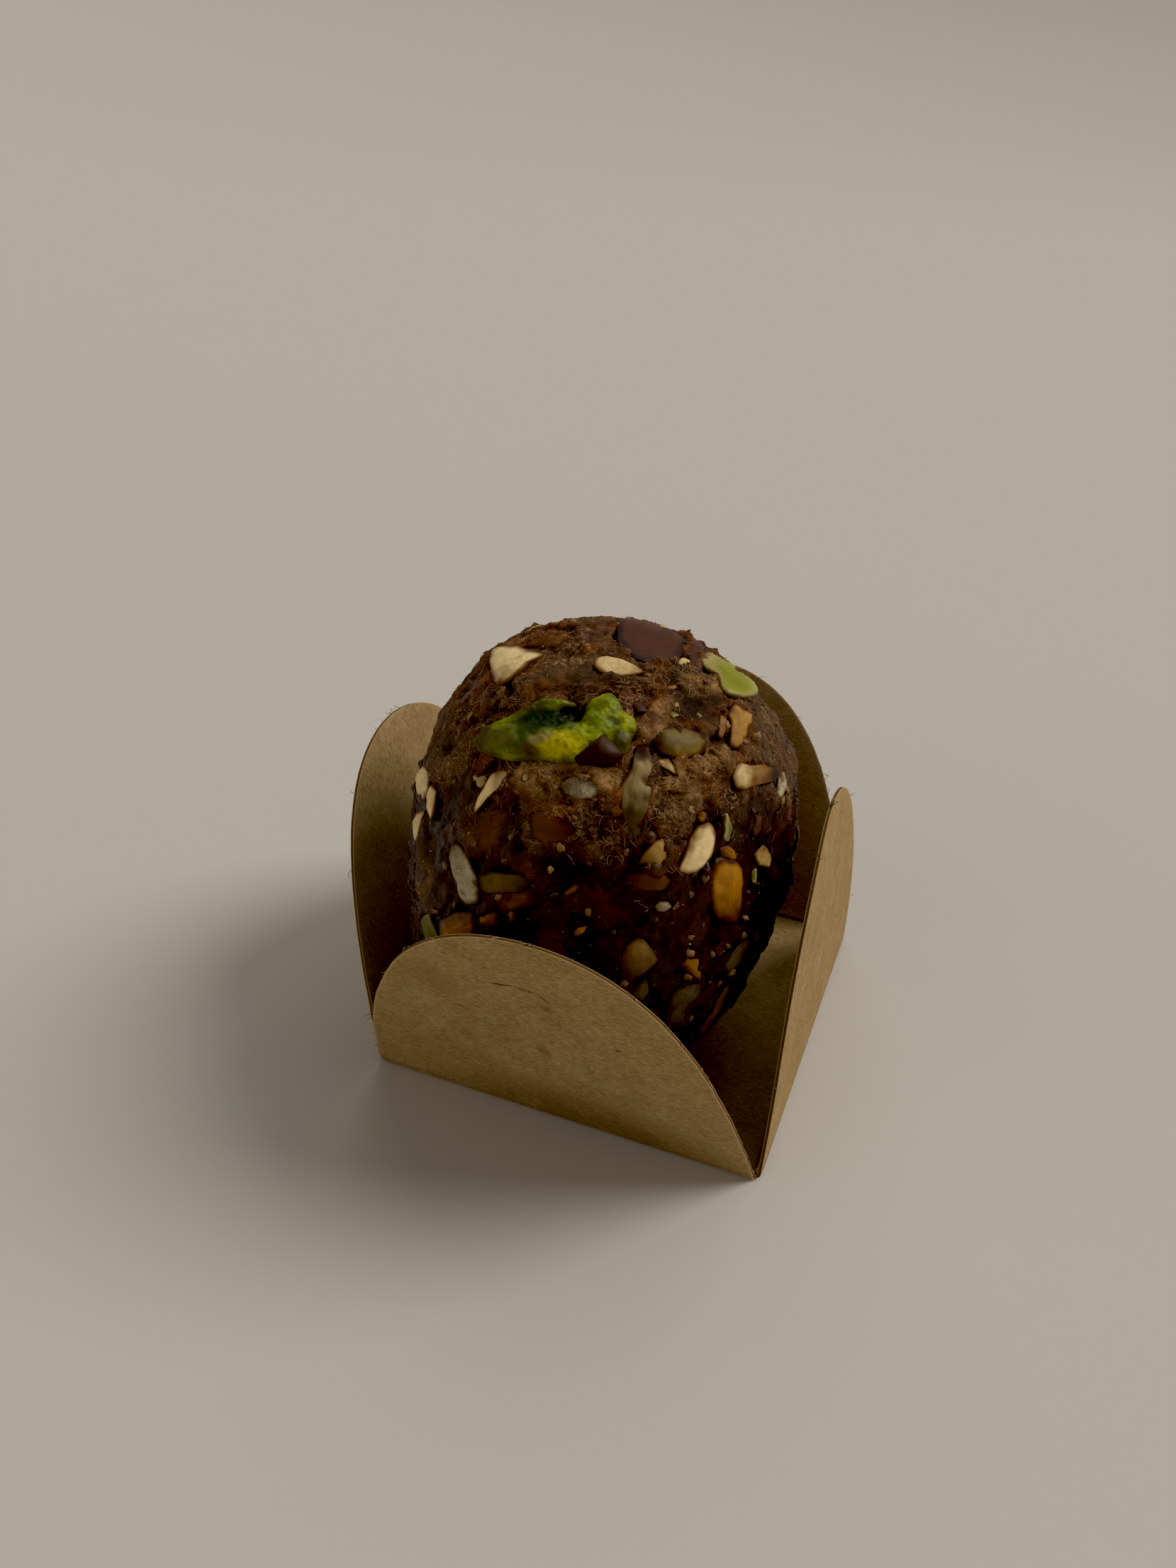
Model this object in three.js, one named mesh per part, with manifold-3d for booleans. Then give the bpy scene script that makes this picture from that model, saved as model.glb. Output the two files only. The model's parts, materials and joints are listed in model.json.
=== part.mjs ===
// A millet ladoo in its card case.
// The ladoo is one hand-rolled ball of date paste and millet, with chopped nuts pressed into its skin and a
// shelled pistachio kernel set in a pocket near the crown. The case is one die-cut blank of kraft card, a
// square base with four rounded petals folded up round the ball.
// Millimetres, +Z up. The origin is the middle of the underside of the case, -Y is its front, +X its right.

import * as THREE from "three";
import { mergeVertices } from "three/addons/utils/BufferGeometryUtils.js";
import Module from "manifold-3d";

const wasm = await Module();
wasm.setup();

// The card case
const BASE_SIDE = 38;
const PETAL_REACH = 28; // from the fold to the tip, along the card
const PETAL_WAIST = 0.064; // how much narrower than a half ellipse a petal is at mid height
const CARD = 0.45;
const FOLD_RADIUS = 0.8; // of the middle of the card
// Which way each petal faces, and how steeply it stands at its fold and at its tip, in degrees
const PETALS = [
  { facing: -90, foldRise: 71, tipRise: 74 },
  { facing: 0, foldRise: 89, tipRise: 96 },
  { facing: 90, foldRise: 78.5, tipRise: 77 },
  { facing: 180, foldRise: 74, tipRise: 73 },
];
const PETAL_COLUMNS = 14;
const FOLD_ROWS = 3;
const PETAL_ROWS = 10;

// The ball of paste
const LADOO_WIDTH = 35.4;
const LADOO_HEIGHT = 42.9;
const LADOO_X = -2;
const LADOO_Y = -5.2;
const FOOT_DEPTH = 0.6; // how far its weight has pressed the bottom flat
const REST_GAP = 0.05; // between the foot and the card
const SHOULDER = 0.5; // hand rolling leaves the ball squarer than an egg
const LUMP = 0.3;
const LUMP_WAVES = 12;
const LUMP_SLOWEST = 3; // radians of wave for one radius of the ball
const LUMP_FASTEST = 9;
const LUMP_SEED = 136;
const CORE_DETAIL = 10;

// The show face is the side seen from the front, a little from the right and from above. What lies on it is
// placed by how far it shows to the right of the middle of the ladoo and above it, and by the size it shows.
const EYE = new THREE.Vector3(29.2, -94.8, 86.6);
const EYE_TURN = 20.1; // degrees to the right of straight in front
const EYE_DIP = 31.6; // degrees down from level
const EYE_ROLL = 2.4;
const LEAST_FACING = 0.5; // a piece near the edge of the view is stretched no more than at this slant

// A thumb left a shallow dip beside the crown
const DIP = { right: -5.3, up: 18.6, reach: 4.5, depth: 0.75 };

// The pistachio kernel and the hollow where it split
const KERNEL = { right: -4.4, up: 10.4, long: 12.9, wide: 5.6, turn: 7, thick: 4.6, proud: 1.2 };
const KERNEL_BEND = 1.5; // how far its ends droop along the ball
const KERNEL_TAPER = 0.25; // how much the left end is narrower than the right
const HOLLOW = { along: 0.6, across: 1, long: 5.2, wide: 1.9, depth: 1.3 };
const KERNEL_DETAIL = 6;
const KERNEL_GAP = 0.3;

// Chopped pieces on the show face, from the crown down
const SHOW_PIECES = [
  { kind: "cashew", right: -7.7, up: 16.3, long: 5.0, wide: 2.8, turn: 18 },
  { kind: "almond", right: 1.6, up: 16.2, long: 4.7, wide: 1.7, turn: -11 },
  { kind: "date", right: 5.0, up: 18.4, long: 6.4, wide: 3.2, turn: -12 },
  { kind: "pistachio", right: 11.8, up: 15.3, long: 5.8, wide: 2.2, turn: -42 },
  { kind: "walnut", right: 5.9, up: 14.3, long: 2.4, wide: 1.0, turn: 5 },
  { kind: "walnut", right: 12.5, up: 10.7, long: 3.9, wide: 2.8, turn: 61 },
  { kind: "raisin", right: 7.3, up: 9.2, long: 4.0, wide: 2.1, turn: -3 },
  { kind: "cashew", right: 14.1, up: 6.0, long: 3.8, wide: 2.1, turn: -8 },
  { kind: "coconut", right: 3.2, up: 6.1, long: 5.4, wide: 2.5, turn: 80 },
  { kind: "walnut", right: -1.8, up: 5.1, long: 3.0, wide: 1.5, turn: -12 },
  { kind: "almond", right: -10.4, up: 4.3, long: 4.1, wide: 1.4, turn: 55 },
  { kind: "cashew", right: -16.7, up: 5.4, long: 2.9, wide: 1.4, turn: 100 },
  { kind: "almond", right: -16.8, up: 1.4, long: 2.7, wide: 1.0, turn: 75 },
  { kind: "date", right: -5.0, up: 0.8, long: 3.0, wide: 2.6, turn: 90 },
  { kind: "cashew", right: 8.8, up: -0.7, long: 4.7, wide: 3.3, turn: 60 },
  { kind: "cashew", right: 5.0, up: -1.2, long: 2.8, wide: 2.1, turn: 40 },
  { kind: "almond", right: 11.5, up: -4.4, long: 5.6, wide: 3.0, turn: 96 },
  { kind: "date", right: 4.6, up: -3.6, long: 3.5, wide: 1.6, turn: -5 },
  { kind: "coconut", right: -12.7, up: -3.3, long: 5.3, wide: 2.2, turn: 109 },
  { kind: "coconut", right: -9.1, up: -4.2, long: 4.5, wide: 1.8, turn: -5 },
  { kind: "almond", right: -13.4, up: -7.9, long: 3.1, wide: 2.3, turn: 10 },
  { kind: "pistachio", right: -16.0, up: -8.3, long: 2.5, wide: 1.1, turn: 115 },
  { kind: "date", right: -4.9, up: -9.7, long: 2.9, wide: 1.7, turn: -15 },
  { kind: "cashew", right: 3.5, up: -11.0, long: 3.9, wide: 3.1, turn: 55 },
  { kind: "cashew", right: 3.6, up: -13.4, long: 2.9, wide: 2.0, turn: 20 },
  { kind: "almond", right: 12.7, up: -10.7, long: 4.3, wide: 1.4, turn: 46 },
  { kind: "cashew", right: 7.5, up: -15.1, long: 4.8, wide: 1.7, turn: 55 },
  { kind: "walnut", right: 10.3, up: -15.4, long: 6.2, wide: 1.2, turn: 53 },
];

// Chopped pieces all round the rest of the ball, on an even spiral
const SPIRAL_COUNT = 140;
const SPIRAL_STEP = Math.PI * (3 - Math.sqrt(5)); // the golden angle
const SPIRAL_LOWEST = -0.72; // of the ball's half height
const SPIRAL_SEED = 77;
const PIECE_LONG = [2.6, 6];
const PIECE_SLIMNESS = [0.4, 0.8]; // width over length
const KINDS = ["cashew", "almond", "walnut", "coconut", "date", "pistachio"];

// How far each kind stands out of the paste, and how thick and how rough a chopped piece is
const PROUD = {
  cashew: 0.6, almond: 0.5, walnut: 0.5, coconut: 0.35, date: 0.4, pistachio: 0.5, raisin: 0.5,
};
const THICKEST_SHARE = 0.9; // of its width
const THINNEST = 1.8;
const CHOP_ROUGHNESS = 0.16;
const CHOP_SEED = 5;
const LARGE_PIECE = 3.6; // longer pieces get more facets
const SLIVER = 0.01; // slimmer facets than this are merged away

// A repeatable run of numbers between 0 and 1
function seededDraw(seed) {
  const multiplier = 16807;
  const modulus = 2147483647;
  let state = seed * multiplier;
  return () => {
    state = (state * multiplier) % modulus;
    return state / modulus;
  };
}

function between([low, high], share) {
  return low + (high - low) * share;
}

// Joins the corners that triangles share, so that a shape is closed
function weld(geometry) {
  geometry.deleteAttribute("normal");
  geometry.deleteAttribute("uv");
  return mergeVertices(geometry);
}

function solidOf(geometry) {
  const vertProperties = geometry.attributes.position.array;
  const triVerts = Uint32Array.from(geometry.index.array);
  return new wasm.Manifold(new wasm.Mesh({ numProp: 3, vertProperties, triVerts }));
}

function geometryOf(solid) {
  const { vertProperties, triVerts } = solid.getMesh();
  const geometry = new THREE.BufferGeometry();
  geometry.setAttribute("position", new THREE.BufferAttribute(vertProperties, 3));
  geometry.setIndex(new THREE.BufferAttribute(triVerts, 1));
  return geometry;
}

// Moves every corner of a closed shape to where place() puts it
function reshape(geometry, place) {
  const corner = new THREE.Vector3();
  const positions = geometry.attributes.position;
  for (let i = 0; i < positions.count; i++) {
    const moved = place(corner.fromBufferAttribute(positions, i));
    positions.setXYZ(i, moved.x, moved.y, moved.z);
  }
  return geometry;
}

// A sheet of triangles made into card: two skins half a thickness to each side, and a rim on every free edge
function thickSheet(points, normals, faces, thickness) {
  const count = points.length;
  const skin = (offset) => points.map((point, i) => point.clone().addScaledVector(normals[i], offset));
  const corners = [...skin(thickness / 2), ...skin(-thickness / 2)];
  const triangles = [];
  const edges = new Set(faces.flatMap(([a, b, c]) => [`${a} ${b}`, `${b} ${c}`, `${c} ${a}`]));
  for (const [a, b, c] of faces) {
    triangles.push(a, b, c, c + count, b + count, a + count);
    for (const [from, to] of [[a, b], [b, c], [c, a]]) {
      if (!edges.has(`${to} ${from}`)) {
        triangles.push(from, from + count, to, to, from + count, to + count);
      }
    }
  }
  const geometry = new THREE.BufferGeometry().setFromPoints(corners);
  geometry.setIndex(triangles);
  return geometry;
}

// The rows of a petal from its fold up: how far out and how high each lies, how steep the card is there, and
// how wide the petal is as a share of its fold
function petalRows({ foldRise, tipRise }) {
  const fold = THREE.MathUtils.degToRad(foldRise);
  const tip = THREE.MathUtils.degToRad(tipRise);
  const tangent = FOLD_RADIUS * Math.tan(fold / 2);
  const rows = [];
  for (let i = 0; i <= FOLD_ROWS; i++) {
    const rise = (fold * i) / FOLD_ROWS;
    const out = FOLD_RADIUS * Math.sin(rise);
    const height = FOLD_RADIUS * (1 - Math.cos(rise));
    rows.push({ out, height, rise, width: 1 });
  }
  const start = Math.asin(tangent / PETAL_REACH);
  let reached = tangent;
  for (let i = 1; i <= PETAL_ROWS; i++) {
    const along = Math.sin(THREE.MathUtils.lerp(start, Math.PI / 2, i / PETAL_ROWS));
    const last = rows.at(-1);
    const step = along * PETAL_REACH - reached;
    const rise = THREE.MathUtils.lerp(fold, tip, along);
    const heading = (rise + last.rise) / 2;
    const out = last.out + step * Math.cos(heading);
    const height = last.height + step * Math.sin(heading);
    const waist = 1 - 4 * PETAL_WAIST * along * (1 - along);
    rows.push({ out, height, rise, width: Math.sqrt(Math.max(0, 1 - along * along)) * waist });
    reached = along * PETAL_REACH;
  }
  return rows;
}

// The folded blank: a flat base, and on each of its edges a petal that bends up
function cardCase() {
  const points = [];
  const normals = [];
  const faces = [];
  const up = new THREE.Vector3(0, 0, 1);
  const add = (point, normal) => {
    points.push(point);
    normals.push(normal);
    return points.length - 1;
  };
  const inset = ({ foldRise }) => {
    return BASE_SIDE / 2 - FOLD_RADIUS * Math.tan(THREE.MathUtils.degToRad(foldRise) / 2);
  };
  const [front, right, back, left] = PETALS.map(inset);
  const cornerPlaces = [[-left, -front], [right, -front], [right, back], [-left, back]];
  const cornerIndices = cornerPlaces.map(([x, y]) => add(new THREE.Vector3(x, y, CARD / 2), up));
  const middle = add(new THREE.Vector3(0, 0, CARD / 2), up);

  PETALS.forEach((petal, side) => {
    const outward = new THREE.Vector3(1, 0, 0).applyAxisAngle(up, THREE.MathUtils.degToRad(petal.facing));
    const from = cornerIndices[side];
    const to = cornerIndices[(side + 1) % PETALS.length];
    const edgeMiddle = points[from].clone().lerp(points[to], 0.5);
    const halfEdge = points[to].clone().sub(points[from]).multiplyScalar(0.5);
    let below = null;
    petalRows(petal).forEach((row, level, rows) => {
      const normal = outward.clone().multiplyScalar(-Math.sin(row.rise)).addScaledVector(up, Math.cos(row.rise));
      const centre = edgeMiddle.clone().addScaledVector(outward, row.out).addScaledVector(up, row.height);
      const isTip = level === rows.length - 1;
      const tipIndex = isTip ? add(centre, normal) : null;
      const line = [];
      for (let column = 0; column <= PETAL_COLUMNS; column++) {
        const isCorner = level === 0 && (column === 0 || column === PETAL_COLUMNS);
        if (isTip) {
          line.push(tipIndex);
        } else if (isCorner) {
          line.push(column === 0 ? from : to);
        } else {
          const share = (2 * column) / PETAL_COLUMNS - 1;
          line.push(add(centre.clone().addScaledVector(halfEdge, share * row.width), normal));
        }
      }
      for (let column = 0; column < PETAL_COLUMNS; column++) {
        const [a, b] = [line[column], line[column + 1]];
        if (level === 0) {
          faces.push([middle, a, b]);
          continue;
        }
        const [c, d] = [below[column], below[column + 1]];
        faces.push([d, c, a]);
        if (!isTip) {
          faces.push([d, a, b]);
        }
      }
      below = line;
    });
  });
  return thickSheet(points, normals, faces, CARD);
}

// The eye's right, up and backward directions
const eyeBack = new THREE.Vector3(0, 0, 1)
  .applyAxisAngle(new THREE.Vector3(1, 0, 0), THREE.MathUtils.degToRad(90 - EYE_DIP))
  .applyAxisAngle(new THREE.Vector3(0, 0, 1), THREE.MathUtils.degToRad(EYE_TURN));
const eyeRight = new THREE.Vector3(1, 0, 0)
  .applyAxisAngle(new THREE.Vector3(0, 0, 1), THREE.MathUtils.degToRad(EYE_TURN))
  .applyAxisAngle(eyeBack, THREE.MathUtils.degToRad(EYE_ROLL));
const eyeUp = new THREE.Vector3().crossVectors(eyeBack, eyeRight);

// The ball's half sizes and its middle
const radii = new THREE.Vector3(LADOO_WIDTH / 2, LADOO_WIDTH / 2, LADOO_HEIGHT / 2);
const footLevel = CARD + REST_GAP;
const ladooMiddle = new THREE.Vector3(LADOO_X, LADOO_Y, footLevel + radii.z - FOOT_DEPTH);

// Where on the unit ball a place on the show face lies, and the sight line that finds it
function showDirection({ right, up }) {
  const aim = ladooMiddle.clone().addScaledVector(eyeRight, right).addScaledVector(eyeUp, up);
  const sight = aim.sub(EYE).normalize();
  const start = EYE.clone().sub(ladooMiddle).divide(radii);
  const course = sight.clone().divide(radii);
  const a = course.dot(course);
  const b = start.dot(course);
  const reach = b * b - a * (start.dot(start) - 1);
  const distance = (-b - Math.sqrt(Math.max(0, reach))) / a;
  return { direction: start.addScaledVector(course, distance).normalize(), sight };
}

const dipDirection = showDirection(DIP).direction;
const lumpDraw = seededDraw(LUMP_SEED);
const lumpWaves = Array.from({ length: LUMP_WAVES }, () => {
  const heading = new THREE.Vector3(lumpDraw() - 0.5, lumpDraw() - 0.5, lumpDraw() - 0.5).normalize();
  const pace = between([LUMP_SLOWEST, LUMP_FASTEST], lumpDraw());
  return { heading, pace, phase: lumpDraw() * 2 * Math.PI };
});

// The ball's surface in a direction from its middle, and the way it faces there
function ladooSurface(direction) {
  const normal = direction.clone().divide(radii).normalize();
  const point = direction.clone().multiply(radii);
  const level = direction.z * direction.z;
  let raise = 4 * SHOULDER * level * (1 - level);
  for (const { heading, pace, phase } of lumpWaves) {
    raise += (LUMP * LUMP_SLOWEST * Math.sin(pace * heading.dot(direction) + phase)) / pace;
  }
  const fromDip = dipDirection.distanceTo(direction) * radii.x;
  raise -= DIP.depth * Math.exp(-((fromDip / DIP.reach) ** 2));
  return { point: point.addScaledVector(normal, raise).add(ladooMiddle), normal };
}

// The ball without its nuts, flat at its foot
function ladooCore() {
  const ball = weld(new THREE.IcosahedronGeometry(1, CORE_DETAIL));
  return reshape(ball, (corner) => {
    const { point } = ladooSurface(corner.clone().normalize());
    point.z = Math.max(point.z, footLevel);
    return point;
  });
}

// A place on the show face, with the directions along the skin that show as the piece's length and width
function showPlace(piece) {
  const { direction, sight } = showDirection(piece);
  const { point, normal } = ladooSurface(direction);
  const facing = Math.min(sight.dot(normal), -LEAST_FACING);
  const turn = THREE.MathUtils.degToRad(piece.turn);
  const alongSkin = (angle) => {
    const seen = eyeRight.clone().multiplyScalar(Math.cos(angle)).addScaledVector(eyeUp, Math.sin(angle));
    return seen.addScaledVector(sight, -seen.dot(normal) / facing);
  };
  return { point, normal, along: alongSkin(turn), across: alongSkin(turn + Math.PI / 2) };
}

// The lie of a piece: its middle sunk in the paste so that its top stands proud, and its sizes grown so that
// what shows at the skin has the length and width asked for
function pieceLie({ point, normal, along, across }, { long, wide, thick, proud }) {
  const sunk = thick / 2 - proud;
  const shown = Math.sqrt(1 - (sunk / (thick / 2)) ** 2);
  const lie = new THREE.Matrix4().makeBasis(
    along.clone().multiplyScalar(long / 2 / shown),
    across.clone().multiplyScalar(wide / 2 / shown),
    normal.clone().multiplyScalar(thick / 2),
  );
  return lie.setPosition(point.clone().addScaledVector(normal, -sunk));
}

const chopDraw = seededDraw(CHOP_SEED);

// One chopped piece, an uneven facetted lump
function choppedPiece(place, { kind, long, wide }) {
  const thick = Math.max(THINNEST, wide * THICKEST_SHARE);
  const lie = pieceLie(place, { long, wide, thick, proud: PROUD[kind] });
  const lump = weld(new THREE.IcosahedronGeometry(1, long > LARGE_PIECE ? 1 : 0));
  const chopped = reshape(lump, (corner) => {
    return corner.multiplyScalar(1 + CHOP_ROUGHNESS * (2 * chopDraw() - 1)).applyMatrix4(lie);
  });
  return solidOf(chopped);
}

// The pieces that the show face doesn't hold, with their places
function spiralPieces() {
  const draw = seededDraw(SPIRAL_SEED);
  const pieces = [];
  for (let i = 0; i < SPIRAL_COUNT; i++) {
    const height = 1 - (2 * i + 1) / SPIRAL_COUNT;
    const direction = new THREE.Vector3(Math.sqrt(1 - height * height), 0, 0)
      .applyAxisAngle(new THREE.Vector3(0, 0, 1), i * SPIRAL_STEP)
      .setZ(height);
    const kind = KINDS[Math.floor(draw() * KINDS.length)];
    const long = between(PIECE_LONG, draw() ** 2);
    const wide = long * between(PIECE_SLIMNESS, draw());
    const turn = draw() * 2 * Math.PI;
    const { point, normal } = ladooSurface(direction);
    const shows = normal.dot(EYE.clone().sub(point).normalize()) > 0;
    if (shows || height < SPIRAL_LOWEST) {
      continue;
    }
    const level = new THREE.Vector3(-normal.y, normal.x, 0).normalize();
    const along = level.clone().applyAxisAngle(normal, turn);
    const across = level.clone().applyAxisAngle(normal, turn + Math.PI / 2);
    pieces.push({ place: { point, normal, along, across }, piece: { kind, long, wide } });
  }
  return pieces;
}

// The kernel, or with a grow above 0 the pocket that it lies in
function kernel(grow) {
  const place = showPlace(KERNEL);
  const lie = pieceLie(place, KERNEL);
  const { along, across, long, wide, depth } = HOLLOW;
  const bean = weld(new THREE.IcosahedronGeometry(1, KERNEL_DETAIL));
  return reshape(bean, (corner) => {
    const outward = corner.clone();
    const dent = Math.exp(-(((corner.x * KERNEL.long - 2 * along) / long) ** 2))
      * Math.exp(-(((corner.y * KERNEL.wide - 2 * across) / wide) ** 2));
    const taper = 1 + KERNEL_TAPER * (corner.x - 1) / 2;
    const placed = new THREE.Vector3(corner.x, corner.y * taper, corner.z).applyMatrix4(lie);
    const droop = KERNEL_BEND * corner.x * corner.x + (corner.z > 0 ? depth * dent : 0);
    outward.transformDirection(lie);
    return placed.addScaledVector(place.normal, -droop).addScaledVector(outward, grow);
  });
}

// The ball with every chopped piece fused on and the kernel's pocket cut out
function ladoo() {
  const shown = SHOW_PIECES.map((piece) => choppedPiece(showPlace(piece), piece));
  const spread = spiralPieces().map(({ place, piece }) => choppedPiece(place, piece));
  const fused = wasm.Manifold.union([solidOf(ladooCore()), ...shown, ...spread]);
  const bodies = fused.subtract(solidOf(kernel(KERNEL_GAP))).simplify(SLIVER).decompose();
  const [whole] = bodies.sort((one, other) => other.volume() - one.volume());
  return geometryOf(whole);
}

const kraftCard = new THREE.MeshStandardMaterial({ color: "#8c7750", roughness: 0.85, metalness: 0 });
const datePaste = new THREE.MeshStandardMaterial({ color: "#4a2d19", roughness: 0.6, metalness: 0 });
const pistachioGreen = new THREE.MeshStandardMaterial({ color: "#7c7a1c", roughness: 0.5, metalness: 0 });

function named(name, geometry, material) {
  const mesh = new THREE.Mesh(geometry, material);
  mesh.name = name;
  return mesh;
}

const milletLadoo = new THREE.Group();
milletLadoo.add(
  named("paper_case", cardCase(), kraftCard),
  named("ladoo", ladoo(), datePaste),
  named("pistachio_kernel", kernel(0), pistachioGreen),
);

export default milletLadoo;
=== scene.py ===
# A millet ladoo in its folded card case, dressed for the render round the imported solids.
# Sizes are in millimetres until a mesh is made, and meshes are in metres, in the frame of the solids.

import json
import math

import bmesh
import bpy
import numpy as np
from mathutils import Matrix, Vector

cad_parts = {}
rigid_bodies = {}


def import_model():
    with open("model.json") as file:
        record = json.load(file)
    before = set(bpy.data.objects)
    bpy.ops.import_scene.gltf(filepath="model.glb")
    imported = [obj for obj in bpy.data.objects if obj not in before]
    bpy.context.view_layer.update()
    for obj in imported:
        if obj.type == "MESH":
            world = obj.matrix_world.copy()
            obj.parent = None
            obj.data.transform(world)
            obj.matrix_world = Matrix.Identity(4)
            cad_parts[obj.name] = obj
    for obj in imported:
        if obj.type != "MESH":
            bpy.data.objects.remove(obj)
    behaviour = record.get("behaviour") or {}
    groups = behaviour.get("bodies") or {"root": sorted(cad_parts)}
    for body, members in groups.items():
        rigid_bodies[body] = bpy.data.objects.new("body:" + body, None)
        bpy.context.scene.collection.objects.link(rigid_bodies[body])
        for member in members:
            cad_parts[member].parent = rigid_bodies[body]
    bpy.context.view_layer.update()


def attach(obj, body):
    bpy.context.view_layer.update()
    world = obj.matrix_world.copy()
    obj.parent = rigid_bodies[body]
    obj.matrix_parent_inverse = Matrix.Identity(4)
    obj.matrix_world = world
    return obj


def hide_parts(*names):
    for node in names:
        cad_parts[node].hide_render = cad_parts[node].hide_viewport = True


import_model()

MM = 0.001


# The viewer
# A camera held close in front of the sweet, from its right and above, rolled a little as a hand holds it.
# The chopped pieces on the side that it sees are placed by where they show from here.

EYE = np.array([29.19, -94.80, 86.60])
EYE_TURN, EYE_DIP, EYE_ROLL = np.radians([20.12, 31.65, 2.41])
PICTURE_HEIGHT = 2212
FOCAL_LENGTH = 1734.8  # in pixels of that picture
SENSOR = 36.0

eye_back = np.array([
    math.sin(EYE_TURN) * math.cos(EYE_DIP),
    -math.cos(EYE_TURN) * math.cos(EYE_DIP),
    math.sin(EYE_DIP),
])
level_right = np.array([math.cos(EYE_TURN), math.sin(EYE_TURN), 0.0])
level_up = np.cross(eye_back, level_right)
eye_right = math.cos(EYE_ROLL) * level_right + math.sin(EYE_ROLL) * level_up
eye_up = np.cross(eye_back, eye_right)

camera = bpy.data.objects.new("camera", bpy.data.cameras.new("camera"))
camera.data.sensor_width = SENSOR
camera.data.lens = SENSOR * FOCAL_LENGTH / PICTURE_HEIGHT
camera.data.clip_start = 1 * MM
axes = Matrix([eye_right, eye_up, eye_back]).transposed()
camera.matrix_world = Matrix.Translation(Vector(EYE * MM)) @ axes.to_4x4()
bpy.context.scene.collection.objects.link(camera)
bpy.context.scene.camera = camera


# The card case
# One die-cut blank of brown kraft card with a square base, whose four rounded petals are bent up by hand
# along scored lines. Each score leaves two low ridges inside its fold, and the cut edges show the core.

BASE_SIDE = 38.0
PETAL_REACH = 28.0
PETAL_WAIST = 0.064
CARD = 0.45
FOLD_RADIUS = 0.35
RIDGE_HEIGHT = 0.2
RIDGE_GAP = 0.6  # from the middle of the fold to each of its two ridges
RIDGE_WIDTH = 0.2
CREASE_ROWS = 8  # close rows beside the fold, which give its ridge a shape
CREASE_STEP = 0.16
WARP = 0.16
WARP_WAVES = (3.1, 1.7)  # radians across half a petal of the two slow waves that the card warps in
WARP_LENGTH = 6.0  # how far along the card the first of them runs on by a radian
WARP_GROWTH = 1.5
CUT_RAGGEDNESS = 0.03
CUT_SEED = 3
PINCH = 0.3  # share of the thickness that the cutting rule squeezes out along the edge
PINCH_REACH = 0.5
WORN_REACH = 0.16  # how wide the rubbed line along the edge is
CARD_COLUMNS = 56
FOLD_ROWS = 8
PETAL_ROWS = 44
OUTER_FACE = 9.0  # how far the outer face's pattern lies from the inner one's
TIP_ANGLE = math.radians(88.8)  # where the outline stops, as good as closed
# Which way each petal faces, and how steeply it stands at its fold and at its tip, in degrees
PETALS = [((0, -1), 70.9, 73.7), ((1, 0), 89.4, 95.7), ((0, 1), 78.6, 76.8), ((-1, 0), 73.8, 73.4)]
FULL_SIDE = (0, -1)  # the petal whose left side is cut nearly full
FULL_SIDE_WAIST = 0.3  # share of the waist that it keeps there


def linear(colour):
    """An sRGB hex colour as linear red, green, blue and alpha."""
    parts = np.array([int(colour[i:i + 2], 16) for i in (1, 3, 5)]) / 255
    return (*np.where(parts <= 0.04045, parts / 12.92, ((parts + 0.055) / 1.055) ** 2.4), 1.0)


def add_node(tree, kind, inputs=None, out=0, **settings):
    """Adds a node with its own settings, and for each input a value or a socket to link. Gives one output."""
    node = tree.nodes.new(kind)
    for name, value in settings.items():
        setattr(node, name, value)
    for name, value in (inputs or {}).items():
        if isinstance(value, bpy.types.NodeSocket):
            tree.links.new(value, node.inputs[name])
        else:
            node.inputs[name].default_value = value
    return node.outputs[out]


# Short names for the kinds of node that come up often. A Mix node of colours mixes its inputs 6 and 7.
MATH, MIX, RANGE = "ShaderNodeMath", "ShaderNodeMix", "ShaderNodeMapRange"
NOISE, STORED, BUMP = "ShaderNodeTexNoise", "ShaderNodeAttribute", "ShaderNodeBump"
RGB_MIX = {"out": 2, "data_type": "RGBA"}


def new_material(name):
    """A material with one Principled shader, its tree and that shader's inputs."""
    material = bpy.data.materials.new(name)
    material.use_nodes = True
    tree = material.node_tree
    return material, tree, tree.nodes["Principled BSDF"].inputs


def mesh_piece(name, points, faces, material, attributes=None, smooth_below=None):
    """An object at the origin from points in millimetres, with values stored for its material to read."""
    mesh = bpy.data.meshes.new(name)
    mesh.from_pydata((np.asarray(points) * MM).tolist(), [], np.asarray(faces).tolist())
    for key, values in (attributes or {}).items():
        values = np.asarray(values, dtype=np.float32)
        kind, field = ("FLOAT", "value") if values.ndim == 1 else ("FLOAT_VECTOR", "vector")
        mesh.attributes.new(key, kind, "POINT").data.foreach_set(field, values.ravel())
    mesh.polygons.foreach_set("use_smooth", np.ones(len(mesh.polygons), dtype=bool))
    if smooth_below is not None:
        mesh.set_sharp_from_angle(angle=math.radians(smooth_below))
    mesh.materials.append(material)
    mesh.validate()
    piece = bpy.data.objects.new(name, mesh)
    bpy.context.scene.collection.objects.link(piece)
    return piece


def dress(piece, node):
    """The piece rides on the part's one body and stands for a solid, which it hides."""
    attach(piece, "root")
    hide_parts(node)


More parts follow.
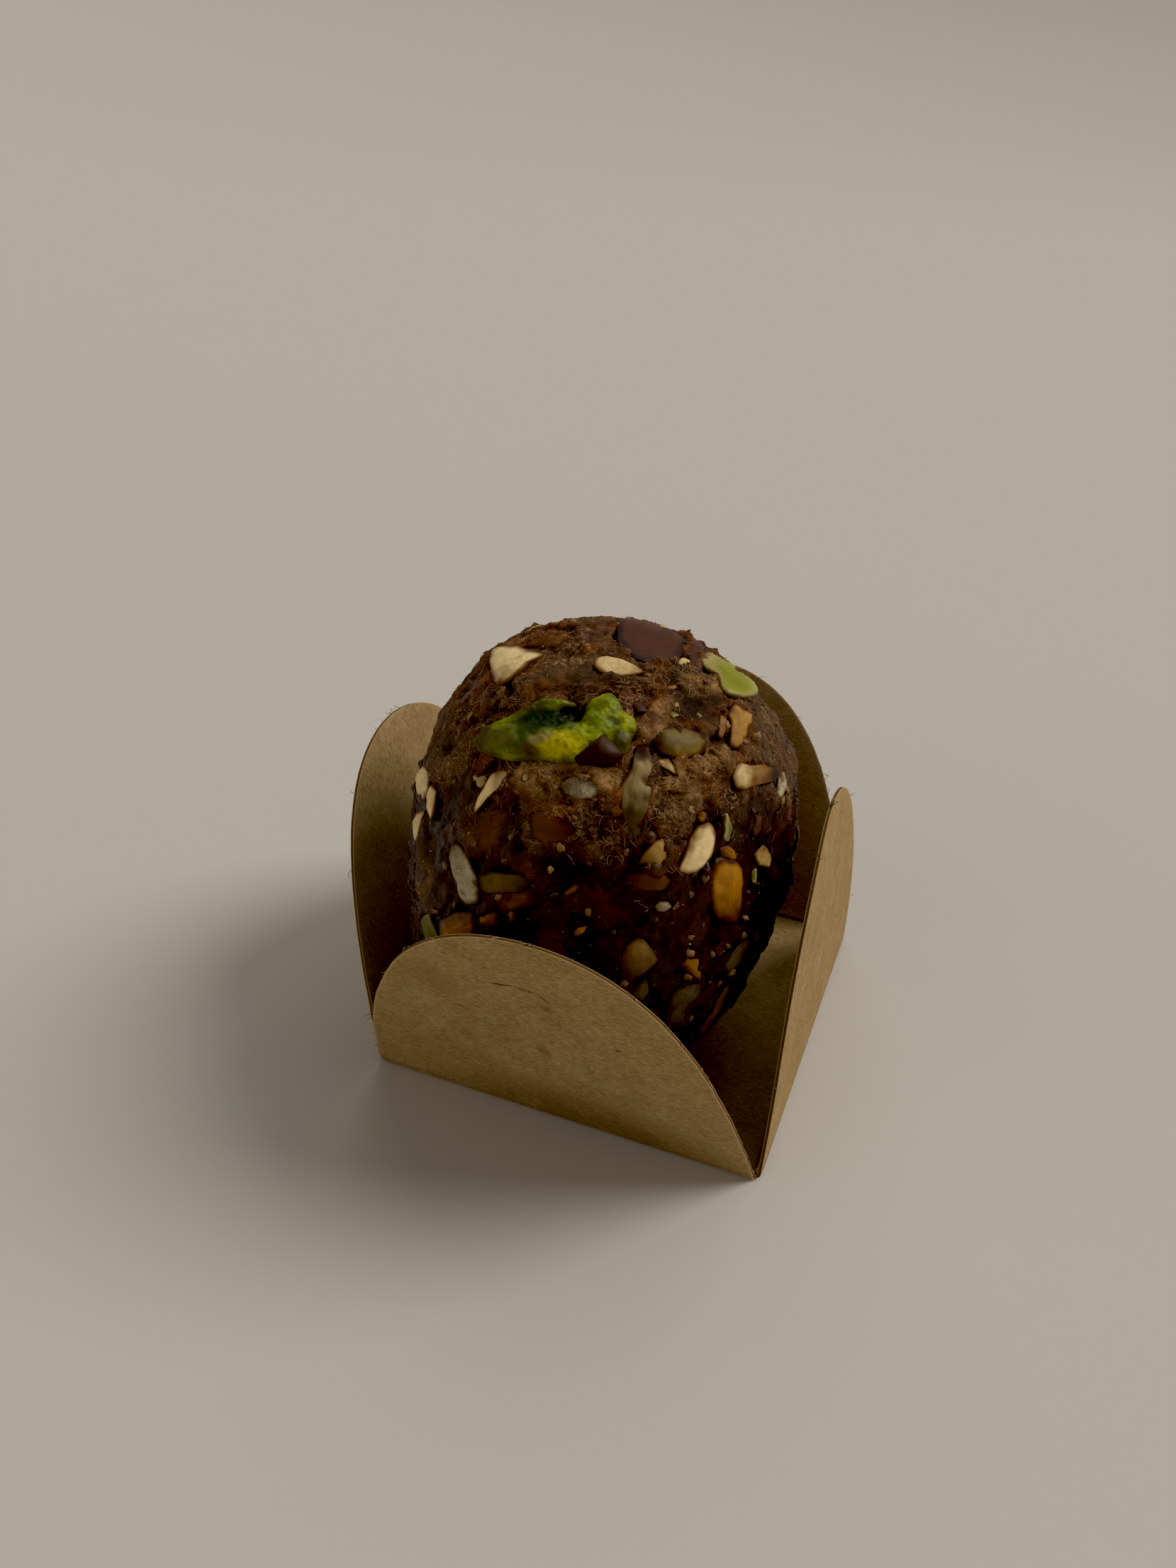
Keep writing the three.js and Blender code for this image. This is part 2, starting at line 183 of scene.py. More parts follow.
def petal_rows(fold_rise, tip_rise):
    """A petal's rows: how far out, high, steep, wide and waisted each is, and how far along the card."""
    fold, tip = math.radians(fold_rise), math.radians(tip_rise)
    bend = np.linspace(0, fold, FOLD_ROWS + 1)
    tangent = FOLD_RADIUS * math.tan(fold / 2)
    creased = tangent + CREASE_STEP * np.arange(1, CREASE_ROWS + 1)
    angles = np.linspace(math.asin(creased[-1] / PETAL_REACH), TIP_ANGLE, PETAL_ROWS + 1)
    along = np.concatenate([creased, PETAL_REACH * np.sin(angles[1:])])
    rise = np.concatenate([bend, fold + (tip - fold) * along / PETAL_REACH])
    step = np.diff(along, prepend=tangent)
    heading = (rise[FOLD_ROWS + 1:] + rise[FOLD_ROWS:-1]) / 2
    out = FOLD_RADIUS * np.sin(bend)
    height = FOLD_RADIUS * (1 - np.cos(bend))
    out = np.concatenate([out, out[-1] + np.cumsum(step * np.cos(heading))])
    height = np.concatenate([height, height[-1] + np.cumsum(step * np.sin(heading))])
    share = along / PETAL_REACH
    waist = 1 - 4 * PETAL_WAIST * share * (1 - share)
    width = np.concatenate([np.ones(FOLD_ROWS + 1), np.sqrt(1 - share ** 2)])
    waist = np.concatenate([np.ones(FOLD_ROWS + 1), waist])
    card_length = np.concatenate([FOLD_RADIUS * bend, FOLD_RADIUS * fold + np.cumsum(step)])
    return out, height, rise, width, waist, card_length


def ridges(distance, fold_rise):
    """Height of a fold's ridges at a distance along the card from where the fold starts."""
    middle = FOLD_RADIUS * math.radians(fold_rise) / 2
    return RIDGE_HEIGHT * np.exp(-((np.abs(distance - middle) - RIDGE_GAP) / RIDGE_WIDTH) ** 2)


def squares(grid):
    """The four corners of each square of a grid of point numbers."""
    return np.stack([grid[:-1, :-1], grid[1:, :-1], grid[1:, 1:], grid[:-1, 1:]], axis=-1).reshape(-1, 4)


def card_case(material):
    """The folded card as one closed mesh, with the place of each point on the flat blank."""
    inset = [BASE_SIDE / 2 - FOLD_RADIUS * math.tan(math.radians(rise) / 2) for _, rise, _ in PETALS]
    front, right, back, left = inset
    spread = (np.sin(np.linspace(-math.pi / 2, math.pi / 2, CARD_COLUMNS + 1)) + 1) / 2
    base_x, base_y = np.meshgrid(
        -left + (left + right) * spread, -front + (front + back) * spread, indexing="ij")
    edge_gaps = [base_y + front, right - base_x, back - base_y, base_x + left]
    edge_ridges = [ridges(-gap, rise) for gap, (_, rise, _) in zip(edge_gaps, PETALS)]
    flat = np.stack([base_x, base_y, np.full_like(base_x, CARD / 2)], axis=-1).reshape(-1, 3)
    count = CARD_COLUMNS + 1
    grid = np.arange(count * count).reshape(count, count)
    edges = [grid[:, 0], grid[-1, :], grid[::-1, -1], grid[0, ::-1]]
    points = [flat]
    normals = [np.tile([0.0, 0.0, 1.0], (count * count, 1))]
    blanks = [flat * [1, 1, 0]]
    folds = [np.max(edge_ridges, axis=0).ravel()]
    base_corners = blanks[0][grid[[0, 0, -1, -1], [0, -1, 0, -1]]]
    gaps = [np.linalg.norm(blanks[0][:, None] - base_corners, axis=-1).min(axis=-1)]
    quads = [squares(grid)]
    rims = []
    total = count * count
    ragged = np.random.default_rng(CUT_SEED)
    across = 2 * spread - 1
    for (facing, fold_rise, tip_rise), edge in zip(PETALS, edges):
        outward = np.array([*facing, 0.0])
        start, end = flat[edge[0]], flat[edge[-1]]
        middle, half = (start + end) / 2 * [1, 1, 0] + [0, 0, CARD / 2], (end - start) / 2
        rows = petal_rows(fold_rise, tip_rise)
        out, height, rise, width, waist, card_length = [row[1:] for row in rows]
        rag = ragged.normal(0, CUT_RAGGEDNESS, (len(out), 2)) / np.linalg.norm(half)
        left_waist = 1 - FULL_SIDE_WAIST * (1 - waist) if facing == FULL_SIDE else waist
        side_width = np.where(across < 0, left_waist[:, None] + rag[:, :1], waist[:, None] + rag[:, 1:])
        shift = across * width[:, None] * side_width
        normal = -np.sin(rise)[:, None] * outward + np.cos(rise)[:, None] * [0, 0, 1]
        centre = middle + out[:, None] * outward + height[:, None] * [0, 0, 1]
        wave = np.sin(WARP_WAVES[0] * shift + card_length[:, None] / WARP_LENGTH + facing[0] * 2)
        wave = wave + np.sin(WARP_WAVES[1] * shift - facing[1])
        lift = WARP * (card_length / PETAL_REACH)[:, None] ** WARP_GROWTH * wave
        rows = centre[:, None] + shift[..., None] * half + lift[..., None] * normal[:, None]
        flat_rows = middle + card_length[:, None] * outward
        points.append(rows.reshape(-1, 3))
        normals.append(np.repeat(normal, count, axis=0))
        blank = (flat_rows[:, None] + shift[..., None] * half) * [1, 1, 0]
        cut_line = np.concatenate([blank[:, 0], blank[-1], blank[:, -1]])
        blanks.append(blank.reshape(-1, 3))
        gaps.append(np.linalg.norm(blanks[-1][:, None] - cut_line, axis=-1).min(axis=-1))
        folds.append(np.repeat(ridges(card_length, fold_rise), count))
        petal = np.vstack([edge, total + np.arange(len(out) * count).reshape(len(out), count)])
        quads.append(squares(petal))
        rims.append(np.concatenate([petal[:, 0], petal[-1, 1:], petal[-2::-1, -1]]))
        total += len(out) * count
    points, normals, blanks, folds, gaps = map(np.concatenate, (points, normals, blanks, folds, gaps))
    quads = np.concatenate(quads)
    half = normals * (CARD / 2 * (1 - PINCH * np.exp(-(gaps / PINCH_REACH) ** 2)))[:, None]
    rim = np.concatenate([part[:-1] for part in rims])
    rows = [rim, 2 * total + np.arange(len(rim)), 2 * total + len(rim) + np.arange(len(rim)), rim + total]
    bands = [np.stack([a, b, np.roll(b, -1), np.roll(a, -1)], axis=-1) for a, b in zip(rows, rows[1:])]
    faces = np.concatenate([quads, quads[:, ::-1] + total, *bands])
    inner = points + half + normals * folds[:, None]
    outer = points - half
    corners = np.concatenate([inner, outer, (points + half / 2)[rim], (points - half / 2)[rim]])
    cut = np.zeros(len(corners))
    cut[2 * total:] = 1
    worn = np.exp(-(gaps / WORN_REACH) ** 2)
    values = {
        "blank": np.concatenate([blanks, blanks + [0, 0, OUTER_FACE], blanks[rim], blanks[rim]]),
        "fold": np.concatenate([folds, folds, folds[rim], folds[rim]]) / RIDGE_HEIGHT,
        "worn": np.concatenate([worn, worn, worn[rim], worn[rim]]),
        "cut": cut,
    }
    return mesh_piece("card_case", corners, faces, material, values, smooth_below=50)


# Uncoated kraft card is felted from short brown fibres, more of them lying one way as the sheet was made. The
# eye sees a fine felt of pale and dark hairs, a cloudy mottle, a few dark shives and no gloss. The hairs are
# drawn three times as wide as real ones, which would be too fine to show.
FIBRE_LENGTH = 0.6
FIBRE_WIDTH = 0.12
CLOUD = 2.6
SHIVE_SPACING = 2.6
# The hairs: their colour, its strength, and the ways they lie in radians
HAIR_COLOURS = [("#d2b888", 0.6, (-0.5, 0.1, 0.7)), ("#62481f", 0.6, (-0.9, -0.1, 0.4))]
# Marks on the outer face, and a painted shade along the front fold: their place on the blank, half length and
# width, turn, colour and strength
MARKS_AND_FOLD_SHADE = [
    (-2.9, -40.3, 1.6, 0.14, -15, "#4a3416", 0.9), (-0.6, -40.5, 1.5, 0.16, 3, "#4a3416", 0.9),
    (1.0, -39.9, 0.9, 0.15, 46, "#4f3818", 0.8), (0.9, -38.6, 1.1, 0.7, 20, "#6a4a1a", 0.55),
    (-0.1, -31.3, 1.2, 0.8, 60, "#6a4a1a", 0.45), (6.9, -35.3, 0.42, 0.2, 0, "#33240e", 1.0),
    (-9.5, -38.0, 3.5, 2.6, 30, "#77582c", 0.35), (-7.6, -34.8, 1.4, 0.15, 8, "#5a4220", 0.6),
    # A broad painted shade on the front petal's outer face just above its fold, where the card lies in shade
    (3.0, -19.5, 16.0, 7.0, 0, "#5c3e14", 0.55),
]

kraft, tree, shader = new_material("uncoated_kraft_card")
blank = add_node(tree, STORED, out="Vector", attribute_name="blank")
cloud = add_node(tree, NOISE, {"Vector": blank, "Scale": 1 / CLOUD, "Detail": 6.0, "Roughness": 0.7})
cloudy = add_node(tree, RANGE, {"Value": cloud, "From Min": 0.3, "From Max": 0.7})
colour = add_node(tree, MIX, {0: cloudy, 6: linear("#94784c"), 7: linear("#b2976a")}, **RGB_MIX)
felt = cloud
for tint, strength, leans in HAIR_COLOURS:
    hairs = None
    for lean in leans:
        laid = add_node(tree, "ShaderNodeMapping", {
            "Vector": blank, "Rotation": (0, 0, lean), "Location": (lean * 9 + strength, 0, 0),
            "Scale": (1 / FIBRE_LENGTH, 1 / FIBRE_WIDTH, 1),
        })
        streak = add_node(tree, NOISE, {"Vector": laid, "Scale": 1.0, "Detail": 1.0, "Distortion": 0.5})
        hairs = streak if hairs is None else add_node(tree, MATH, {0: hairs, 1: streak}, operation="MAXIMUM")
    felt = add_node(tree, MATH, {0: felt, 1: hairs}, operation="ADD")
    hairs = add_node(tree, RANGE, {"Value": hairs, "From Min": 0.56, "From Max": 0.76, "To Max": strength})
    colour = add_node(tree, MIX, {0: hairs, 6: colour, 7: linear(tint)}, **RGB_MIX)
# Each mark darkens the card softly, and the last one is painted shade at the front fold
for right, up, long, wide, turn, tint, strength in MARKS_AND_FOLD_SHADE:
    mark_and_shade = add_node(tree, "ShaderNodeMapping", {
        "Vector": blank, "Location": (right, up, OUTER_FACE), "Rotation": (0, 0, math.radians(turn)),
        "Scale": (long, wide, 1),
    }, vector_type="TEXTURE")
    mark_and_shade = add_node(tree, "ShaderNodeTexGradient", {"Vector": mark_and_shade}, out="Fac", gradient_type="SPHERICAL")
    mark_and_shade = add_node(tree, MATH, {0: mark_and_shade, 1: cloudy}, operation="MULTIPLY")
    mark_and_shade = add_node(tree, RANGE, {"Value": mark_and_shade, "From Max": 0.35, "To Max": strength})
    colour = add_node(tree, MIX, {0: mark_and_shade, 6: colour, 7: linear(tint)}, **RGB_MIX)
shive = add_node(tree, "ShaderNodeTexVoronoi", {"Vector": blank, "Scale": 1 / SHIVE_SPACING})
picked = add_node(tree, "ShaderNodeSeparateColor", {"Color": shive.node.outputs["Color"]})
near = add_node(tree, RANGE, {
    "Value": shive, "From Min": 0.03, "From Max": 0.08, "To Min": 0.75, "To Max": 0.0,
})
rare = add_node(tree, MATH, {0: picked, 1: 0.13}, operation="LESS_THAN")
speck = add_node(tree, MATH, {0: near, 1: rare}, operation="MULTIPLY")
colour = add_node(tree, MIX, {0: speck, 6: colour, 7: linear("#4a3218")}, **RGB_MIX)
for stored, share, tint in (("fold", 0.3, "#75502c"), ("worn", 0.45, "#d6bd8e"), ("cut", 0.95, "#583a1c")):
    handled = add_node(tree, STORED, out="Fac", attribute_name=stored)
    handled = add_node(tree, MATH, {0: handled, 1: share}, operation="MULTIPLY")
    colour = add_node(tree, MIX, {0: handled, 6: colour, 7: linear(tint)}, **RGB_MIX)
tooth = add_node(tree, BUMP, {"Height": felt, "Strength": 0.4, "Distance": 0.05 * MM})
tree.links.new(colour, shader["Base Color"])
tree.links.new(tooth, shader["Normal"])
shader["Roughness"].default_value = 0.9
shader["Specular IOR Level"].default_value = 0.2

case = card_case(kraft)
dress(case, "paper_case")


# The pale nuts
# Cashews and almonds chopped with a knife and mixed through the paste. Hand rolling presses them level with
# the ball's skin, so a little of each stands out, and its rim is smeared with paste.

LADOO_WIDTH = 35.4
LADOO_HEIGHT = 42.9
FOOT_LEVEL = 0.5
FOOT_DEPTH = 0.6
SHOULDER = 0.5
LUMP = 0.3
LUMP_WAVES = 12
LUMP_PACE = (3, 9)  # radians of wave for one radius of the ball
LUMP_SEED = 136
DRAW_FACTOR = 16807  # the multiplier and the range of the repeatable draw
DRAW_RANGE = 2147483647
DIP_SHOWS = (-5.3, 18.13)  # where a thumb left a shallow dip beside the crown
DIP_REACH = 4.5
DIP_DEPTH = 0.75
RADII = np.array([LADOO_WIDTH, LADOO_WIDTH, LADOO_HEIGHT]) / 2
READ_ABOVE = 0.47  # places that show are read from this far above the ladoo's middle
ladoo_middle = np.array([-2.0, -5.2, FOOT_LEVEL + RADII[2] - FOOT_DEPTH])
read_from = ladoo_middle + READ_ABOVE * eye_up
eye_ahead = np.cross(eye_up, eye_right)


def seeded_draw(seed):
    """A repeatable run of numbers between 0 and 1."""
    state = seed * DRAW_FACTOR
    while True:
        state = state * DRAW_FACTOR % DRAW_RANGE
        yield state / DRAW_RANGE


def unit(vectors):
    """Vectors at length one."""
    return vectors / np.linalg.norm(vectors, axis=-1, keepdims=True)


def show_direction(shows):
    """Where on the unit ball places lie that show so far right of and above the place they are read from.

    Places past the outline run on round the far side.
    """
    shows = np.asarray(shows, dtype=float)
    seen = read_from + shows[..., :1] * eye_right + shows[..., 1:] * eye_up
    course = unit((seen - EYE) / RADII)
    start = (EYE - ladoo_middle) / RADII
    nearest = start - course * (course @ start)[..., None]
    room = 1 - (nearest ** 2).sum(axis=-1, keepdims=True)
    return unit(nearest - course * np.sign(room) * np.sqrt(np.abs(room)))


def seen_at(points):
    """How far right of the place they are read from and above it points show."""
    offset = points - EYE
    to_place = read_from - EYE
    level = offset * (to_place @ eye_ahead / (offset @ eye_ahead))[..., None] - to_place
    return np.stack([level @ eye_right, level @ eye_up], axis=-1)


lump_draw = seeded_draw(LUMP_SEED)
lump_waves = []
for _ in range(LUMP_WAVES):
    heading = unit(np.array([next(lump_draw) - 0.5 for _ in range(3)]))
    pace = LUMP_PACE[0] + (LUMP_PACE[1] - LUMP_PACE[0]) * next(lump_draw)
    lump_waves.append((heading, pace, next(lump_draw) * 2 * math.pi))
dip_direction = show_direction(DIP_SHOWS)


def ladoo_surface(directions):
    """The ball's surface in directions from its middle, and the way it faces there."""
    normals = unit(directions / RADII)
    level = directions[..., 2] ** 2
    raised = 4 * SHOULDER * level * (1 - level)
    for heading, pace, phase in lump_waves:
        raised = raised + LUMP * LUMP_PACE[0] * np.sin(pace * (directions @ heading) + phase) / pace
    from_dip = np.linalg.norm(directions - dip_direction, axis=-1) * RADII[0]
    raised = raised - DIP_DEPTH * np.exp(-(from_dip / DIP_REACH) ** 2)
    return directions * RADII + normals * raised[..., None] + ladoo_middle, normals


unit_balls = {}


def unit_ball(subdivisions):
    """The corners and triangles of an even ball."""
    if subdivisions not in unit_balls:
        ball = bmesh.new()
        bmesh.ops.create_icosphere(ball, subdivisions=subdivisions, radius=1)
        corners = np.array([corner.co for corner in ball.verts])
        triangles = np.array([[corner.index for corner in face.verts] for face in ball.faces])
        unit_balls[subdivisions] = corners, triangles
        ball.free()
    return unit_balls[subdivisions]


WAVE_LENGTHS = (1.2, 3.2)  # shortest and longest wave of an unevenness, for bumps 1 across


def uneven(points, size, seed, waves=28):
    """Smooth unevenness from about -1 to 1 whose bumps are about one size across."""
    rng = np.random.default_rng(seed)
    headings = unit(rng.normal(size=(waves, 3)))
    headings = headings * 2 * math.pi / (size * rng.uniform(*WAVE_LENGTHS, (waves, 1)))
    return np.sin(points @ headings.T + rng.uniform(0, 2 * math.pi, waves)).sum(axis=-1) / math.sqrt(waves)


OUTLINE_STEPS = np.linspace(-math.pi, math.pi, 240, endpoint=False)
EDGE_STEPS = 12  # places between one corner and the next
ROUNDED = 4  # steps on either side over which a corner is rounded
ROUNDING = np.exp(-np.linspace(-2, 2, 2 * ROUNDED + 1) ** 2)


def outline_reach(outline):
    """An outline's middle and how far it reaches in each direction, with its corners a little rounded."""
    ring = np.array(outline, dtype=float)
    middle = (ring.min(axis=0) + ring.max(axis=0)) / 4 + ring.mean(axis=0) / 2
    share = np.linspace(0, 1, EDGE_STEPS, endpoint=False)[:, None, None]
    edge = (ring * (1 - share) + np.roll(ring, -1, axis=0) * share).reshape(-1, 2) - middle
    angles = np.arctan2(edge[:, 1], edge[:, 0])
    reach = np.interp(OUTLINE_STEPS, angles, np.hypot(edge[:, 0], edge[:, 1]), period=2 * math.pi)
    closed = np.concatenate([reach[-ROUNDED:], reach, reach[:ROUNDED]])
    reach = np.convolve(closed, ROUNDING / ROUNDING.sum(), "valid")
    return middle, reach


def drawn_ball(outline, subdivisions, squareness):
    """An even ball drawn out to an outline: places across, heights and nearness to the rim, and triangles."""
    corners, triangles = unit_ball(subdivisions)
    middle, reach = outline_reach(outline)
    level = np.hypot(corners[:, 0], corners[:, 1])
    grow = (level ** squareness + np.abs(corners[:, 2]) ** squareness) ** (-1 / squareness)
    angles = np.arctan2(corners[:, 1], corners[:, 0])
    far = grow * level * np.interp(angles, OUTLINE_STEPS, reach, period=2 * math.pi)
    places = middle + np.stack([far * np.cos(angles), far * np.sin(angles)], axis=-1)
    return places, grow * corners[:, 2], grow * level, triangles


def show_surface(shows):
    """The ball's surface under places that show, moved so that their middle shows where it should."""
    shows = np.asarray(shows)
    middle = shows.mean(axis=0)
    point, _ = ladoo_surface(show_direction(middle))
    return ladoo_surface(show_direction(shows + middle - seen_at(point)))


# Pieces all round the rest of the ball, on an even spiral
SPIRAL_COUNT = 140
SPIRAL_LOWEST = -0.72
SPIRAL_SEED = 77
PIECE_LONG = (2.6, 6.0)
PIECE_SLIMNESS = (0.4, 0.8)
KINDS = ("cashew", "almond", "walnut", "coconut", "date", "pistachio")


def spiral_pieces():
    """For each kind the place, length and width of its pieces on the side that isn't seen."""
    draw = seeded_draw(SPIRAL_SEED)
    found = {kind: [] for kind in KINDS}
    for i in range(SPIRAL_COUNT):
        height = 1 - (2 * i + 1) / SPIRAL_COUNT
        round_angle = i * math.pi * (3 - math.sqrt(5))
        ring = math.sqrt(1 - height * height)
        direction = np.array([ring * math.cos(round_angle), ring * math.sin(round_angle), height])
        kind = KINDS[int(next(draw) * len(KINDS))]
        long = PIECE_LONG[0] + (PIECE_LONG[1] - PIECE_LONG[0]) * next(draw) ** 2
        wide = long * (PIECE_SLIMNESS[0] + (PIECE_SLIMNESS[1] - PIECE_SLIMNESS[0]) * next(draw))
        turn = next(draw) * 2 * math.pi
        point, normal = ladoo_surface(direction)
        if normal @ unit(EYE - point) > 0 or height < SPIRAL_LOWEST:
            continue
        level = unit(np.array([-normal[1], normal[0], 0]))
        rise = np.cross(normal, level)
        along = level * math.cos(turn) + rise * math.sin(turn)
        found[kind].append(((point, along, np.cross(normal, along)), long, wide))
    return found


spiral = spiral_pieces()
SHOWN_DETAIL, HIDDEN_DETAIL = 5, 4  # subdivisions of the ball that a piece is drawn from
CORNER_SHIFT = 0.35  # how unevenly the corners of a hidden piece are spread
CORNER_REACH = (0.8, 1.12)
FILM_DEPTH = 0.2  # how high over the skin the smear of paste reaches
FILM_PATCH = 2.2  # how wide the places are where it reaches higher or lower
FILM_WANDER = (0.07, 0.05)  # how much higher or lower it is there, in coarse and in fine patches
ROOT_DEPTH = 1.2  # how deep a piece reaches into the paste
STANDING = 0.6  # share of its full stand that rolling leaves
CROWN = 1.2  # how much higher than its stand its middle was before the knife left faces
FACETS = 3
FACET_LEAN = 0.4  # how much the faces that the knife left differ
FACET_MOST = 0.7
SHADED_BELOW = 26.0  # pieces under this level are painted darker as shade, as the lower front lies in shadow
SHADED_REACH = 7.0
SHADED_MOST = 0.88
BUMP_SIZES = (1.3, 0.5)  # coarse and fine bumps on its faces
FINE_BUMPS = 0.6
RIM_SMEAR = 0.74  # how far out the smear round the rim starts
RIM_SMEAR_MOST = 0.85
RIM_WANDER = 2.0
SIDE_SMEAR = 0.8  # how far a smear of no share stays off the side that it comes from
SIDE_SMEAR_FADE = 1.1
SIDE_WANDER = 2.5
GRAIN_APART = 7.3  # how far one piece lies from the next in the pattern of their grain
PALE_SIDE = 0.3  # how much paler a piece is on the side away from its smear
beds = []  # the outline of each piece, and the place on the ball of one that is not seen


def chopped_pieces(
    name, shown, hidden, material, proud,
    squareness=3.2, roughness=0.05, corners=7, takes_low_shade=1.0, seed=1,
):
    """One mesh of like chopped pieces that follow the skin, stand out of it and are smeared at the rim.

    A piece that shows has its outline, its tone, how far it stands out, and the side and share of its smear.
    """
    points, faces, films, tones, low_shades, lies = [], [], [], [], [], []
    rng = np.random.default_rng(seed)
    count = 0
    for order in range(len(shown) + len(hidden)):
        tone, stands, smear_side, smear_share = rng.uniform(), proud, rng.uniform(0, 360), rng.uniform(0, 0.5)
        if order < len(shown):
            outline, tone, stands, smear_side, smear_share = shown[order]
            beds.append((outline, None))
            places, heights, rim, triangles = drawn_ball(outline, SHOWN_DETAIL, squareness)
            skin, normals = show_surface(places)
        else:
            (point, along, across), long, wide = hidden[order - len(shown)]
            shift = rng.uniform(-CORNER_SHIFT, CORNER_SHIFT, corners)
            angles = (np.arange(corners) + shift) * 2 * math.pi / corners
            reach = rng.uniform(*CORNER_REACH, corners)[:, None]
            outline = np.stack([np.cos(angles) * long / 2, np.sin(angles) * wide / 2], axis=-1) * reach
            beds.append((outline, (point, along, across)))
            places, heights, rim, triangles = drawn_ball(outline, HIDDEN_DETAIL, squareness)
            level = point + places[:, :1] * along + places[:, 1:] * across
            skin, normals = ladoo_surface(unit((level - ladoo_middle) / RADII))
        local = places - places.mean(axis=0)
        half = np.abs(local).max()
        facets = rng.normal(0, FACET_LEAN, (FACETS, 2))
        lean = min(stands, FACET_MOST) * (local @ facets.T / half).min(axis=-1)
        top = STANDING * (CROWN * stands + lean)
        stretched = np.where(heights > 0, heights * top, heights * ROOT_DEPTH)
        bumps = uneven(skin, BUMP_SIZES[0], seed * 50 + order)
        bumps = bumps + FINE_BUMPS * uneven(skin, BUMP_SIZES[1], seed * 70 + order)
        stretched = stretched + np.clip(heights, 0, 1) * roughness * bumps
        placed = skin + normals * stretched[:, None]
        toward = np.array([math.cos(math.radians(smear_side)), math.sin(math.radians(smear_side))])
        side = local @ toward
        side = side / np.abs(side).max()
        patchy = FILM_WANDER[0] * uneven(skin, FILM_PATCH, seed + 3)
        patchy = patchy + FILM_WANDER[1] * uneven(skin, FILM_PATCH / 4, seed + 7)
        film = np.clip(1 - (stretched + patchy) / FILM_DEPTH, 0, 1)
        from_side = (side + SIDE_WANDER * patchy + 2 * smear_share - SIDE_SMEAR) / SIDE_SMEAR_FADE
        at_rim = (rim - RIM_SMEAR) / (1 - RIM_SMEAR) + RIM_WANDER * patchy
        smeared = np.maximum(np.clip(from_side, 0, 1), RIM_SMEAR_MOST * np.clip(at_rim, 0, 1))
        film = np.maximum(film, smeared)
        # Pieces low on the ball get painted shade, more the lower they lie
        low_shade = np.clip((SHADED_BELOW - skin[:, 2]) / SHADED_REACH, 0, SHADED_MOST)
        _, grain_axes = np.linalg.eigh(local.T @ local)
        lies.append(np.column_stack([local @ grain_axes[:, ::-1], stretched]) + [order * GRAIN_APART, 0, 0])
        films.append(film)
        tones.append(tone - PALE_SIDE * side)
        low_shades.append(low_shade * takes_low_shade)
        points.append(placed)
        faces.append(triangles + count)
        count += len(film)
    stored = {"film": films, "tone": tones, "painted_low_shade": low_shades, "lie": lies}
    values = {key: np.concatenate(parts) for key, parts in stored.items()}
    group = mesh_piece(name, np.concatenate(points), np.concatenate(faces), material, values)
    dress(group, "ladoo")
    return group


PASTE_STAIN = "#2b1208"
LOW_SHADE_COLOUR = "#2a1c08"
NUT_CLOUDS = 0.55  # clouds of tone to the millimetre


def nut_material(name, dark, pale, smear, roughness, grain, grain_height, streak=1.0):
    """A chopped piece: cloudy between two tones, with a grain that may run along it, stained by paste, and
    painted darker as shade low on the ball.
    """
    material, tree, shader = new_material(name)
    lie = add_node(tree, STORED, out="Vector", attribute_name="lie")
    film = add_node(tree, STORED, out="Fac", attribute_name="film")
    tone = add_node(tree, STORED, out="Fac", attribute_name="tone")
    drawn = add_node(tree, "ShaderNodeMapping", {"Vector": lie, "Scale": (1 / streak, 1, 1)})
    fine = add_node(tree, NOISE, {"Vector": drawn, "Scale": 1 / grain, "Detail": 4.0})
    cloudy = add_node(tree, NOISE, {"Vector": lie, "Scale": NUT_CLOUDS, "Detail": 2.0})
    for part in (fine, tone):
        cloudy = add_node(tree, MATH, {0: cloudy, 1: part}, operation="ADD")
    cloudy = add_node(tree, RANGE, {"Value": cloudy, "From Min": 0.8, "From Max": 1.9})
    colour = add_node(tree, MIX, {0: cloudy, 6: linear(dark), 7: linear(pale)}, **RGB_MIX)
    for stain, start, end in ((smear, 0.05, 0.6), (PASTE_STAIN, 0.6, 1.0)):
        stained = add_node(tree, RANGE, {"Value": film, "From Min": start, "From Max": end})
        colour = add_node(tree, MIX, {0: stained, 6: colour, 7: linear(stain)}, **RGB_MIX)
    # Pieces low on the ball are painted darker as shade
    painted_low_shade = add_node(tree, STORED, out="Fac", attribute_name="painted_low_shade")
    colour = add_node(tree, MIX, {0: painted_low_shade, 6: colour, 7: linear(LOW_SHADE_COLOUR)}, **RGB_MIX)
    relief = add_node(tree, BUMP, {"Height": fine, "Strength": 0.6, "Distance": grain_height * MM})
    tree.links.new(colour, shader["Base Color"])
    tree.links.new(relief, shader["Normal"])
    shader["Roughness"].default_value = roughness
    shader["Specular IOR Level"].default_value = 0.22
    shader["Subsurface Weight"].default_value = 0.25
    shader["Subsurface Radius"].default_value = (1.0, 0.5, 0.2)
    shader["Subsurface Scale"].default_value = 0.5 * MM
    return material


# Cashew and almond flesh is cream, smooth from the knife, waxy and a little uneven in tone.
pale_nut = nut_material("chopped_cashew_and_almond", "#a07e42", "#eed59c", "#7a5220", 0.48, 0.45, 0.06)
